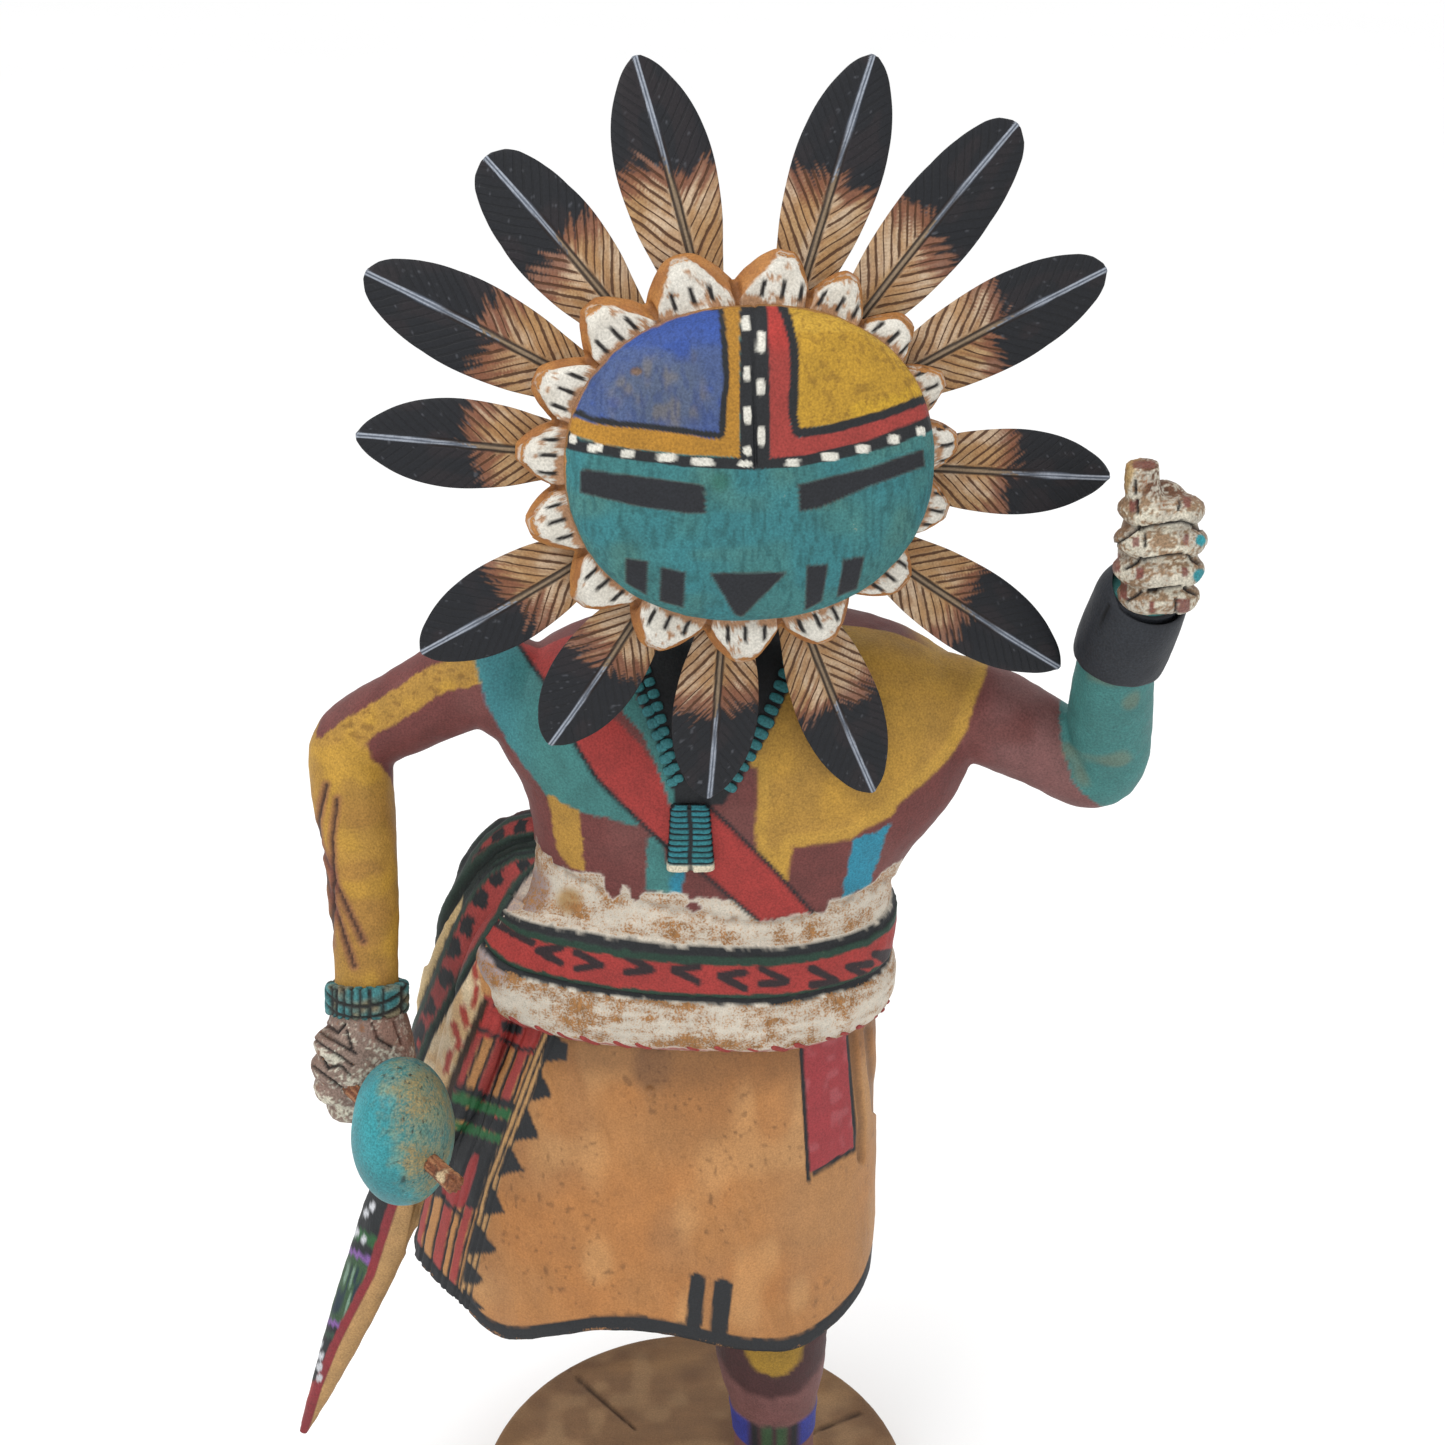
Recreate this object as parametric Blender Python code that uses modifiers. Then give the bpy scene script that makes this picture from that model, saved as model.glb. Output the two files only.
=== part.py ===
"""A carved and painted cottonwood kachina doll with a sun-face mask, dancing on a round slab.

The doll faces -Y with its right hand at -X. The origin is the centre of the slab's underside.
The carved body is a free form: its rows are in parts, of which the body is BODY_PARTS tall from
the soles to the top of the neck. Rows are measured up from the soles.
"""

import math

import bmesh
import bpy
from mathutils import Matrix, Vector

MM = 0.001

# Slab
BASE_DIAMETER = 100 * MM
BASE_THICKNESS = 20 * MM
BASE_EDGE_ROUND = 1.6 * MM

# Carved body
BODY_HEIGHT = 234 * MM
BODY_PARTS = 234
NECK_DIAMETER = 22 * MM
# Where the neck stands and how far down it is let into the chest, in parts
NECK = (9, 0, 205)

# Sun mask: an oval face on a ring of husk points, with the head behind it
FACE_WIDTH = 62.5 * MM
FACE_HEIGHT = 53.5 * MM
FACE_DEPTH = 8.5 * MM
RUFF_WIDTH = 76 * MM
RUFF_HEIGHT = 71 * MM
RUFF_THICKNESS = 5.2 * MM
# The angle of each husk point from straight up, clockwise from the front, as the carver spaced them
RUFF_POINTS = [13, 31, 50, 69, 87, 107, 131, 157, 180, 205, 229, 254, 275, 296, 319, 345]
RUFF_POINT_LENGTH = 5.6 * MM
HEAD_WIDTH = 56 * MM
HEAD_HEIGHT = 51 * MM
HEAD_DEPTH = 33 * MM
# The mask's middle above the top of the neck and in front of it
MASK_RISE = 23 * MM
MASK_REACH = 24 * MM
MASK_TURN = math.radians(8)
MASK_TILT = math.radians(8)

# Feathers: the angle of each from straight up, clockwise from the front, and its length in parts
FEATHERS = [
    (347.5, 38.0), (21.3, 40.5), (43.1, 44.1), (66.3, 43.4), (96.1, 39.6), (125.2, 44.8), (158.7, 40.0),
    (185.3, 34.3), (213.8, 32.2), (239.2, 35.5), (274.6, 35.2), (297.8, 39.5), (321.5, 35.0),
]
FEATHER_WIDTH = 15 * MM
FEATHER_THICKNESS = 2.4 * MM
FEATHER_SWEEP = math.radians(10)

# Rattle: a gourd on a stick, held in the right fist
GOURD_WIDTH = 19.8 * MM
GOURD_DEPTH = 24 * MM
GOURD_HEIGHT = 28 * MM
STICK_DIAMETER = 3.6 * MM
STICK_REACH = 10 * MM

# The space that pieces which touch keep between them
GAP = 0.3 * MM

PART = BODY_HEIGHT / BODY_PARTS
SOLE = BASE_THICKNESS + GAP

# Torso, belt and waist roll, top to bottom: height, centre x, half width, centre y, half depth
TRUNK = [
    (216, 9, 22, 2, 12), (211, 9, 38, 1.5, 16), (205, 9, 45.5, 1, 18.5), (197, 9, 47, 0.5, 20),
    (184, 9.5, 42.5, 0, 20), (172, 6.5, 37.5, 0, 19), (164.5, 4.5, 36.4, 0, 18.5), (160.5, 2, 39, 0, 20.5),
    (158, 0.8, 40.4, 0, 22), (148, 0.8, 40.4, 0, 22), (145, -0.2, 42, 0, 23.4), (139, -0.6, 41.8, 0, 23.2),
    (136, -0.8, 40, 0, 21.4), (133, -1.2, 39.2, 0, 20.8),
]
# The kilt's rows, at shares of the way from the trunk's last row down to the hem
KILT = [(0.5, -6.6, 46, 0, 24.4), (0.76, -9.6, 49.4, 0, 26), (0.9, -11, 50.4, 0, 26.4)]
TRUNK_SIDES = 32
# The trunk is squarer at the shoulders than at the hem
TRUNK_SQUARENESS = (2.6, 2.15)
# The hem is as wide as the kilt's last row, lifted at the hips and by a wave that runs round it
HEM_HEIGHT = 63.5
HEM_WAVE = 4.2
HEM_WAVES = 5
HEM_WAVE_START = math.radians(98)
HEM_SLOPE = 2.5
HIP_LIFT = 11
HIP_SHARPNESS = 6
HEM_ROWS = 6
HEM_FOLLOW = 0.8
KILT_HOLLOW = 9
KILT_EDGE = 3.2

# Limbs, as stations along the middle: x, y, height, half width, half depth
RIGHT_ARM = [
    (-30, 0, 201, 10, 10.5), (-40, 1, 205, 9.6, 10), (-54, 2.5, 198, 8.4, 8.8), (-65.5, 4, 190.5, 7.9, 8.2),
    (-66.2, 1, 184, 8.1, 8.2), (-65, -4, 172, 7.5, 7.5), (-64, -9, 160, 6.8, 6.8), (-63.6, -14, 148, 6.2, 6.2),
    (-63.8, -17, 140, 6.6, 7),
]
RIGHT_BRACELET = [
    (-63.5, -14.6, 147.2, 7, 7), (-63.5, -14.8, 146.7, 8.2, 8), (-63.5, -17.2, 141.2, 8.4, 8.2),
    (-63.5, -17.4, 140.6, 7.2, 7),
]
RIGHT_FIST = (-65.4, -20.6, 130.5, 7.8, 7.4, 11.6)
RIGHT_FINGERS = [(-67.8, -22.5, 137, 5.8), (-68.2, -23.5, 132.4, 6.2), (-68, -23.8, 127.8, 6.2), (-66.8, -23, 123.2, 5.4)]
LEFT_ARM = [
    (44, 0, 201, 10, 10.5), (56, -0.5, 198.6, 9.8, 10), (68, -1.5, 193, 8.8, 9), (77.5, -2.5, 188, 8.2, 8.2),
    (80.2, -5, 192, 7.9, 7.9), (79.2, -9.5, 203, 7.9, 7.9), (78.4, -14.5, 214, 7.2, 7.2), (79.2, -19, 225, 6.8, 6.8),
    (80.5, -22, 233, 6.4, 6.4),
]
LEFT_WRISTBAND = [
    (78.4, -15.4, 216.2, 7.4, 7.6), (78.4, -15.6, 216.8, 8.6, 8.6), (80.6, -21.6, 231, 8.2, 8.2),
    (80.7, -21.9, 231.6, 6.8, 6.8),
]
LEFT_FIST = (81.8, -24, 240.6, 6.8, 6.4, 12.4)
LEFT_FINGERS = [(81.2, -27.6, 248.6, 7.4), (81.4, -28.4, 243.4, 7.9), (81.6, -28.2, 238, 7.8), (82.2, -27.4, 232.8, 7)]
LEFT_THUMB = [(80.6, -25, 244, 3.6, 3.6), (77.6, -27, 252, 3, 3), (77, -27.6, 257.4, 2.6, 2.6)]
FINGER_HALF_HEIGHT = 2.7
FINGER_HALF_DEPTH = 4.2

# Standing leg and the leg that kicks back under the kilt
STANDING_LEG = [
    (17, -3, 84, 13, 13), (17.2, -4, 60, 12.8, 12.4), (17.2, -5, 48, 12.4, 11.8), (17.6, -5, 40, 11.6, 11),
    (18, -5, 30, 9.6, 9.4), (18.2, -5, 18, 9, 9), (18.2, -4, 8, 9.2, 9.6),
]
STANDING_ANKLE = (18.4, -2.5, 10.4)
KICKED_LEG = [
    (-22, 2, 84, 12, 12), (-23.4, 0.5, 64, 11.4, 11.4), (-24, 3.5, 56.5, 10.6, 10.6), (-24.6, 12, 52.5, 9.8, 9.6),
    (-25.4, 26, 46, 8.6, 8.4), (-26, 36, 41, 8, 8),
]
KICKED_ANKLE = (-26.2, 38, 40)
KICKED_TOE_DROP = math.radians(108)
# A moccasin: half width, half length and height, and where the ankle meets it as shares of these
SHOE = (9.4, 20.5, 13)
SHOE_ANKLE = (0.42, 0.8)
LIMB_SIDES = 12

# The sash drawn over the right hip, down to its long pointed end: stations as for a limb
SASH = [
    (-27, 2, 173, 5, 4), (-31.5, 2, 166, 11, 6.2), (-35.4, 1.5, 158, 14, 7.6), (-39, 1, 147, 15.5, 8.4),
    (-43, 2, 133, 16, 8.6), (-49.6, 4.5, 114, 13.5, 8), (-60.5, 8.6, 90, 9, 5.6), (-70, 11, 64, 7.2, 4.3),
    (-80, 12.6, 38, 5.4, 3.4), (-88.5, 14, 16, 3, 2.3), (-94.6, 15, 0.8, 1.1, 1),
]
# Its front fold, which lies over the rest
SASH_FOLD = [
    (-33, -5, 160, 5, 3.2), (-39, -8.6, 147, 6.6, 4.6), (-43.6, -9.2, 132, 6.8, 5), (-49, -6, 114, 6, 4.6),
    (-56.6, -1, 97, 4.4, 3.4), (-61, 2.4, 86, 1.6, 1.4),
]
SASH_FACE = Vector((-0.66, -0.75, 0))
SASH_SIDES = 12

# The bead pendant on the chest: x, height of its top and foot, half width, and its front and back
PENDANT = (1.1, 189.2, 174.3, 4.4, -21.6, -12)
PENDANT_TOP_SHARE = 0.78

GOURD_PLACE = Vector((-54.4, -37.4, 126.6))
STICK_AIM = Vector((0.67, -0.73, -0.11)).normalized()


def material(name, colour, roughness):
    """A painted or bare wood finish from an sRGB hex colour."""
    made = bpy.data.materials.new(name)
    made.use_nodes = True
    shader = made.node_tree.nodes["Principled BSDF"]
    levels = [int(colour[i : i + 2], 16) / 255 for i in (0, 2, 4)]
    linear = [v / 12.92 if v <= 0.04045 else ((v + 0.055) / 1.055) ** 2.4 for v in levels]
    shader.inputs["Base Color"].default_value = (*linear, 1)
    shader.inputs["Roughness"].default_value = roughness
    shader.inputs["Metallic"].default_value = 0
    return made


def new_object(name, mesh, finish, collection):
    """An object of this mesh, in a collection, with its finish."""
    made = bpy.data.objects.new(name, mesh)
    collection.objects.link(made)
    made.data.materials.append(finish)
    return made


def loft(name, rings, finish, collection):
    """A closed skin through rings of equal count, each end closed by a fan to its middle."""
    count = len(rings[0])
    points = [point for ring in rings for point in ring]
    faces = []
    for row in range(len(rings) - 1):
        for i in range(count):
            a = row * count + i
            b = row * count + (i + 1) % count
            faces.append((a, b, b + count, a + count))
    for row, order in ((0, -1), (len(rings) - 1, 1)):
        middle = len(points)
        points.append(sum(rings[row], Vector()) / count)
        for i in range(count):
            ends = (row * count + i, row * count + (i + 1) % count)[::order]
            faces.append((*ends, middle))
    mesh = bpy.data.meshes.new(name)
    mesh.from_pydata(points, [], faces)
    shape = bmesh.new()
    shape.from_mesh(mesh)
    bmesh.ops.recalc_face_normals(shape, faces=shape.faces)
    shape.to_mesh(mesh)
    shape.free()
    return new_object(name, mesh, finish, collection)


def oval_point(angle, half_width, half_depth, squareness):
    """A point of a superellipse, which is round at 2 and squarer above it."""
    c = math.cos(angle)
    s = math.sin(angle)
    x = math.copysign(abs(c) ** (2 / squareness), c) * half_width
    y = math.copysign(abs(s) ** (2 / squareness), s) * half_depth
    return x, y


def evenly(count):
    """Angles evenly round a full turn."""
    return [2 * math.pi * i / count for i in range(count)]


def between_rows(rows, steps):
    """The rows with smooth ones added between them, so that each stretch has this many steps."""
    rows = [Vector(row) for row in rows]
    full = []
    for i in range(len(rows) - 1):
        before = rows[max(i - 1, 0)]
        after = rows[min(i + 2, len(rows) - 1)]
        leave = (rows[i + 1] - before) / 2
        arrive = (after - rows[i]) / 2
        for step in range(steps):
            t = step / steps
            full.append(
                rows[i] * (2 * t**3 - 3 * t**2 + 1)
                + leave * (t**3 - 2 * t**2 + t)
                + rows[i + 1] * (3 * t**2 - 2 * t**3)
                + arrive * (t**3 - t**2)
            )
    return full + [rows[-1]]


def stations(path, steps, sides, facing):
    """Rings across a path of stations. Each ring's depth points as nearly as it can to facing."""
    path = between_rows(path, steps)
    middles = [Vector((p[0] * PART, p[1] * PART, SOLE + p[2] * PART)) for p in path]
    rings = []
    for i, station in enumerate(path):
        along = (middles[min(i + 1, len(path) - 1)] - middles[max(i - 1, 0)]).normalized()
        across = along.cross(facing).normalized()
        out = across.cross(along).normalized()
        ring = []
        for angle in evenly(sides):
            x, y = oval_point(angle, station[3] * PART, station[4] * PART, 2)
            ring.append(middles[i] + across * x + out * y)
        rings.append(ring)
    return rings


def ball(name, place, halves, turn, sides, finish, collection):
    """An egg-shaped solid, turned about its middle."""
    mesh = bpy.data.meshes.new(name)
    shape = bmesh.new()
    bmesh.ops.create_uvsphere(shape, u_segments=sides, v_segments=sides // 2, radius=1)
    across = Matrix.Diagonal((*halves, 1))
    bmesh.ops.transform(shape, matrix=Matrix.Translation(place) @ turn @ across, verts=shape.verts)
    shape.to_mesh(mesh)
    shape.free()
    return new_object(name, mesh, finish, collection)


def rod(name, start, end, radius, sides, finish, collection):
    """A round rod from start to end."""
    mesh = bpy.data.meshes.new(name)
    shape = bmesh.new()
    length = (end - start).length
    bmesh.ops.create_cone(shape, cap_ends=True, segments=sides, radius1=radius, radius2=radius, depth=length)
    turn = (end - start).to_track_quat("Z", "Y").to_matrix().to_4x4()
    bmesh.ops.transform(shape, matrix=Matrix.Translation((start + end) / 2) @ turn, verts=shape.verts)
    shape.to_mesh(mesh)
    shape.free()
    return new_object(name, mesh, finish, collection)


def combine(target, other, operation):
    """Joins other to target, or cuts it out, and keeps other only as a mesh that is gone."""
    modifier = target.modifiers.new(operation.lower(), "BOOLEAN")
    modifier.operation = operation
    modifier.object = other
    bpy.context.view_layer.update()
    evaluated = target.evaluated_get(bpy.context.evaluated_depsgraph_get())
    mesh = bpy.data.meshes.new_from_object(evaluated)
    target.modifiers.clear()
    target.data = mesh
    bpy.data.objects.remove(other)


def in_parts(x, y, height):
    """A place on the body, from parts to metres."""
    return Vector((x * PART, y * PART, SOLE + height * PART))


def make_base(collection):
    """The turned slab, with its edges eased."""
    finish = material("bare cottonwood slab", "a87c52", 0.7)
    mesh = bpy.data.meshes.new("base")
    shape = bmesh.new()
    bmesh.ops.create_cone(
        shape,
        cap_ends=True,
        segments=48,
        radius1=BASE_DIAMETER / 2,
        radius2=BASE_DIAMETER / 2,
        depth=BASE_THICKNESS,
    )
    bmesh.ops.translate(shape, vec=(0, 0, BASE_THICKNESS / 2), verts=shape.verts)
    shape.to_mesh(mesh)
    shape.free()
    base = new_object("base", mesh, finish, collection)
    edge = base.modifiers.new("eased edge", "BEVEL")
    edge.width = BASE_EDGE_ROUND
    edge.segments = 2
    edge.limit_method = "ANGLE"
    return base


def hem_lift(angle):
    """How far the hem stands above or below its height at an angle round the kilt, in parts."""
    wave = HEM_WAVE * math.cos(HEM_WAVES * (angle + HEM_WAVE_START))
    return wave - HEM_SLOPE * math.cos(angle) + HIP_LIFT * math.cos(angle) ** HIP_SHARPNESS


def trunk_ring(row, hollow=0, wave=0):
    """One level ring of the trunk, moved in by hollow and following the hem's wave by a share."""
    height, x, half_width, y, half_depth = row
    top, foot = TRUNK_SQUARENESS
    squareness = foot + (top - foot) * (height - HEM_HEIGHT) / (TRUNK[0][0] - HEM_HEIGHT)
    ring = []
    for angle in evenly(TRUNK_SIDES):
        px, py = oval_point(angle, half_width - hollow, half_depth - hollow, squareness)
        round_kilt = math.atan2(py, px)
        ring.append(in_parts(x + px, y + py, height + wave * hem_lift(round_kilt)))
    return ring


def make_trunk(finish, collection):
    """Torso, waist roll, belt and kilt, with the kilt hollowed a little from below."""
    waist = TRUNK[-1][0]
    kilt = [(waist + (HEM_HEIGHT - waist) * share, *sizes) for share, *sizes in KILT]
    rows = between_rows(TRUNK + kilt, 2)
    rings = [trunk_ring(row) for row in rows[:-HEM_ROWS]]
    for row in rows[-HEM_ROWS:]:
        share = (kilt[0][0] - row[0]) / (kilt[0][0] - kilt[-1][0])
        rings.append(trunk_ring(row, 0, max(share, 0) ** 2 * HEM_FOLLOW))
    hem = [HEM_HEIGHT, *KILT[-1][1:]]
    rings.append(trunk_ring(hem, 0, 1))
    rings.append(trunk_ring(hem, KILT_EDGE, 1))
    hem[0] = HEM_HEIGHT + KILT_HOLLOW
    rings.append(trunk_ring(hem, 2 * KILT_EDGE, 0.5))
    return loft("figure", rings, finish, collection)


def finger(name, row, finish, collection):
    """One finger curled across the front of a fist."""
    x, y, height, half_length = row
    rings = []
    for share in (-1, -0.75, 0, 0.75, 1):
        swell = math.sqrt(max(1 - share**4, 0.16))
        ring = []
        for angle in evenly(8):
            py, pz = oval_point(angle, FINGER_HALF_DEPTH * swell, FINGER_HALF_HEIGHT * swell, 2.4)
            bend = 1.6 * share**2
            ring.append(in_parts(x + half_length * share, y + py + bend, height + pz))
        rings.append(ring)
    return loft(name, rings, finish, collection)


def shoe(name, ankle, toe_drop, finish, collection):
    """A soft moccasin on this ankle: flat below, rounded above and a little narrower at the toe."""
    half_width, half_length, tall = SHOE
    turn = Matrix.Rotation(toe_drop, 4, "X")
    held = Vector((0, SHOE_ANKLE[0] * half_length, SHOE_ANKLE[1] * tall)) * PART
    rings = []
    for share in (-1, -0.9, -0.62, -0.2, 0.25, 0.62, 0.88, 1):
        swell = math.sqrt(max(1 - abs(share) ** 3, 0.1))
        top = tall * (0.62 + 0.38 * (share + 1) / 2) * swell
        ring = []
        for angle in evenly(12):
            px, pz = oval_point(angle, half_width * swell, top / 2, 2.6)
            point = Vector((px, share * half_length, pz + top / 2)) * PART
            ring.append(in_parts(*ankle) + turn @ (point - held))
        rings.append(ring)
    return loft(name, rings, finish, collection)


def make_pendant(finish, collection):
    """The bead pendant, a low tapered block that stands a little off the chest."""
    x, top, foot, half_width, front, back = PENDANT
    rings = []
    for height, half in ((top, half_width * PENDANT_TOP_SHARE), (foot, half_width)):
        corners = [(x - half, back), (x + half, back), (x + half, front), (x - half, front)]
        rings.append([in_parts(px, py, height) for px, py in corners])
    return loft("pendant", rings, finish, collection)


def make_figure(collection, cutters):
    """The body, carved from one root: trunk, legs, arms, fists, sash and pendant, joined."""
    finish = material("painted cottonwood", "9a5f43", 0.62)
    front = Vector((0, -1, 0))
    figure = make_trunk(finish, cutters)
    neck_top = in_parts(*NECK[:2], BODY_PARTS)
    neck_foot = in_parts(*NECK)
    joined = [
        rod("neck", neck_foot, neck_top, NECK_DIAMETER / 2, 28, finish, cutters),
        loft("sash", stations(SASH, 1, SASH_SIDES, SASH_FACE), finish, cutters),
        loft("sash fold", stations(SASH_FOLD, 1, SASH_SIDES, SASH_FACE), finish, cutters),
        loft("right arm", stations(RIGHT_ARM, 2, LIMB_SIDES, Vector((-0.4, -1, 0.05))), finish, cutters),
        loft("left arm", stations(LEFT_ARM, 2, LIMB_SIDES, Vector((0.15, -1, 0.1))), finish, cutters),
        loft("standing leg", stations(STANDING_LEG, 1, LIMB_SIDES, front), finish, cutters),
        loft("kicked leg", stations(KICKED_LEG, 1, LIMB_SIDES, Vector((-1, 0, 0))), finish, cutters),
        loft("bracelet", stations(RIGHT_BRACELET, 1, 16, front), finish, cutters),
        loft("wristband", stations(LEFT_WRISTBAND, 1, 16, front), finish, cutters),
        loft("thumb", stations(LEFT_THUMB, 2, 8, front), finish, cutters),
        make_pendant(finish, cutters),
    ]
    joined.append(shoe("standing shoe", STANDING_ANKLE, 0, finish, cutters))
    joined.append(shoe("kicked shoe", KICKED_ANKLE, KICKED_TOE_DROP, finish, cutters))
    for fist, rows in ((RIGHT_FIST, RIGHT_FINGERS), (LEFT_FIST, LEFT_FINGERS)):
        halves = [half * PART for half in fist[3:]]
        joined.append(ball("palm", in_parts(*fist[:3]), halves, Matrix(), 14, finish, cutters))
        for row in rows:
            joined.append(finger("finger", row, finish, cutters))
    for piece in joined:
        combine(figure, piece, "UNION")
    cutters.objects.unlink(figure)
    collection.objects.link(figure)
    return figure


def gourd_halves(extra=0):
    """Half sizes of the gourd, with extra all round."""
    return [size / 2 + extra for size in (GOURD_WIDTH, GOURD_DEPTH, GOURD_HEIGHT)]


def stick_ends():
    """Where the rattle's stick starts in the fist and where it ends in front of the gourd."""
    middle = in_parts(*GOURD_PLACE)
    widths = zip(STICK_AIM, gourd_halves())
    inside = 1 / math.sqrt(sum((part / half) ** 2 for part, half in widths))
    return middle - STICK_AIM * (inside + 8 * PART), middle + STICK_AIM * (inside + STICK_REACH)


def make_rattle(figure, collection, cutters):
    """The gourd and its stick, and the seat that they need in the fist."""
    paint = material("turquoise painted gourd", "3f9aa0", 0.6)
    bare = material("split reed", "9a6b48", 0.8)
    middle = in_parts(*GOURD_PLACE)
    start, end = stick_ends()
    gourd = ball("rattle_gourd", middle, gourd_halves(), Matrix(), 18, paint, collection)
    seat = ball("gourd seat", middle, gourd_halves(GAP), Matrix(), 18, paint, cutters)
    combine(figure, seat, "DIFFERENCE")
    for target in (gourd, figure):
        bore = rod("stick bore", start - STICK_AIM * GAP, end, STICK_DIAMETER / 2 + GAP, 16, bare, cutters)
        combine(target, bore, "DIFFERENCE")
    rod("rattle_stick", start, end, STICK_DIAMETER / 2, 16, bare, collection)


def mask_place():
    """The matrix from the mask's own frame, whose face looks along -Y, to the doll's."""
    middle = in_parts(*NECK[:2], BODY_PARTS) + Vector((0, -MASK_REACH, MASK_RISE))
    turned = Matrix.Rotation(MASK_TURN, 4, "Z") @ Matrix.Rotation(-MASK_TILT, 4, "X")
    return Matrix.Translation(middle) @ turned


RUFF_BACK = -1.5 * MM


def mask_ring(count, half_width, half_height, y, squareness, place):
    """An upright ring of the mask at depth y of its own frame."""
    ring = []
    for angle in evenly(count):
        x, z = oval_point(angle, half_width, half_height, squareness)
        ring.append(place @ Vector((x, y, z)))
    return ring


def ruff_ring(drop, y, y_valley, place):
    """A ring of the ruff, out to its points less a drop. Valleys lie at y_valley, the points at y."""
    ring = []
    for number, tip in enumerate(RUFF_POINTS):
        step = (RUFF_POINTS[(number + 1) % len(RUFF_POINTS)] - tip) % 360
        for share, rise in ((0.05, 1), (0.5, 0), (0.95, 1)):
            angle = math.radians(tip + step * share)
            cut = RUFF_POINT_LENGTH * (1 - rise) + drop
            x = math.sin(angle) * (RUFF_WIDTH / 2 - cut)
            z = math.cos(angle) * (RUFF_HEIGHT / 2 - cut)
            ring.append(place @ Vector((x, y_valley + (y - y_valley) * rise, z)))
    return ring


def make_mask(collection, cutters):
    """The head, the ruff of husk points and the domed face, as one carved piece."""
    finish = material("turquoise painted mask", "3f9094", 0.6)
    place = mask_place()
    half_width = HEAD_WIDTH / 2
    half_height = HEAD_HEIGHT / 2
    rings = []
    for share, swell in ((0, 1), (0.3, 1), (0.6, 0.97), (0.8, 0.88), (0.93, 0.7), (1, 0.4)):
        y = RUFF_BACK - 1 * MM + share * (HEAD_DEPTH + 1 * MM)
        rings.append(mask_ring(28, half_width * swell, half_height * swell, y, 2, place))
    mask = loft("mask", rings, finish, collection)
    front = RUFF_BACK - RUFF_THICKNESS
    core = RUFF_HEIGHT / 2 - RUFF_POINT_LENGTH
    ruff = [
        ruff_ring(core / 2, RUFF_BACK, RUFF_BACK, place),
        ruff_ring(0.5 * MM, RUFF_BACK, RUFF_BACK, place),
        ruff_ring(0, RUFF_BACK - 1.2 * MM, RUFF_BACK - 1.2 * MM, place),
        ruff_ring(0.9 * MM, front + 1.2 * MM, front + 0.4 * MM, place),
        ruff_ring(core / 2, front - 1.2 * MM, front - 1.2 * MM, place),
    ]
    combine(mask, loft("ruff", ruff, finish, cutters), "UNION")
    rings = []
    for share in (0, 0.3, 0.55, 0.75, 0.9, 0.97):
        y = front + 1.5 * MM - (FACE_DEPTH + 1.5 * MM) * share
        swell = (1 - share**3.4) ** (1 / 2.6)
        rings.append(mask_ring(34, FACE_WIDTH / 2 * swell, FACE_HEIGHT / 2 * swell, y, 2.2, place))
    combine(mask, loft("face", rings, finish, cutters), "UNION")
    socket_top = in_parts(*NECK[:2], BODY_PARTS) + Vector((0, 0, GAP))
    socket_foot = in_parts(*NECK)
    socket = rod("neck socket", socket_foot, socket_top, NECK_DIAMETER / 2 + GAP, 28, finish, cutters)
    combine(mask, socket, "DIFFERENCE")
    return mask


def make_feather(number, turn, length, collection):
    """One carved feather: a leaf with a raised middle, rooted behind the ruff and swept back."""
    finish = material(f"feather paint {number}", "3a2f2b", 0.65)
    root = max(HEAD_WIDTH, HEAD_HEIGHT) / 2 + 2 * GAP
    place = mask_place() @ Matrix.Rotation(math.radians(turn), 4, "Y")
    thick = FEATHER_THICKNESS / 2
    start = RUFF_BACK + GAP + thick
    rings = []
    leaf = [
        (0, 0.56), (0.14, 0.72), (0.3, 0.9), (0.5, 1), (0.66, 0.95), (0.8, 0.74), (0.92, 0.4), (1, 0.08),
    ]
    for share, wide in leaf:
        reach = root + share * length
        half = FEATHER_WIDTH / 2 * wide
        thin = thick * (1 - 0.45 * share)
        edge = thin * 0.4
        y = start + share * length * math.tan(FEATHER_SWEEP)
        outline = [
            (-half, -edge), (-half / 2, -thin * 0.86), (0, -thin), (half / 2, -thin * 0.86),
            (half, -edge), (half, edge), (0, thin * 0.8), (-half, edge),
        ]
        rings.append([place @ Vector((across, y + deep, reach)) for across, deep in outline])
    return loft(f"feather_{number:02d}", rings, finish, collection)


for leftover in list(bpy.data.objects):
    bpy.data.objects.remove(leftover)
doll = bpy.data.collections.new("kachina_doll")
tools = bpy.data.collections.new("cutters")
tools.hide_render = True
for group in (doll, tools):
    bpy.context.scene.collection.children.link(group)

make_base(doll)
carved = make_figure(doll, tools)
make_rattle(carved, doll, tools)
make_mask(doll, tools)
for index, (turned, long) in enumerate(FEATHERS, 1):
    make_feather(index, turned, long * PART, doll)
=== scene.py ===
"""The looks of a carved and painted cottonwood kachina doll with a sun-face mask, on its slab.

Lengths are in mm until a mesh is made. The doll faces -Y, with its right hand at -X, and z is
the height above the slab's underside. Shapes painted on the front of the body are given where
they show in the photograph, and everything else is given on the wood itself.
"""

import math

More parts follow.
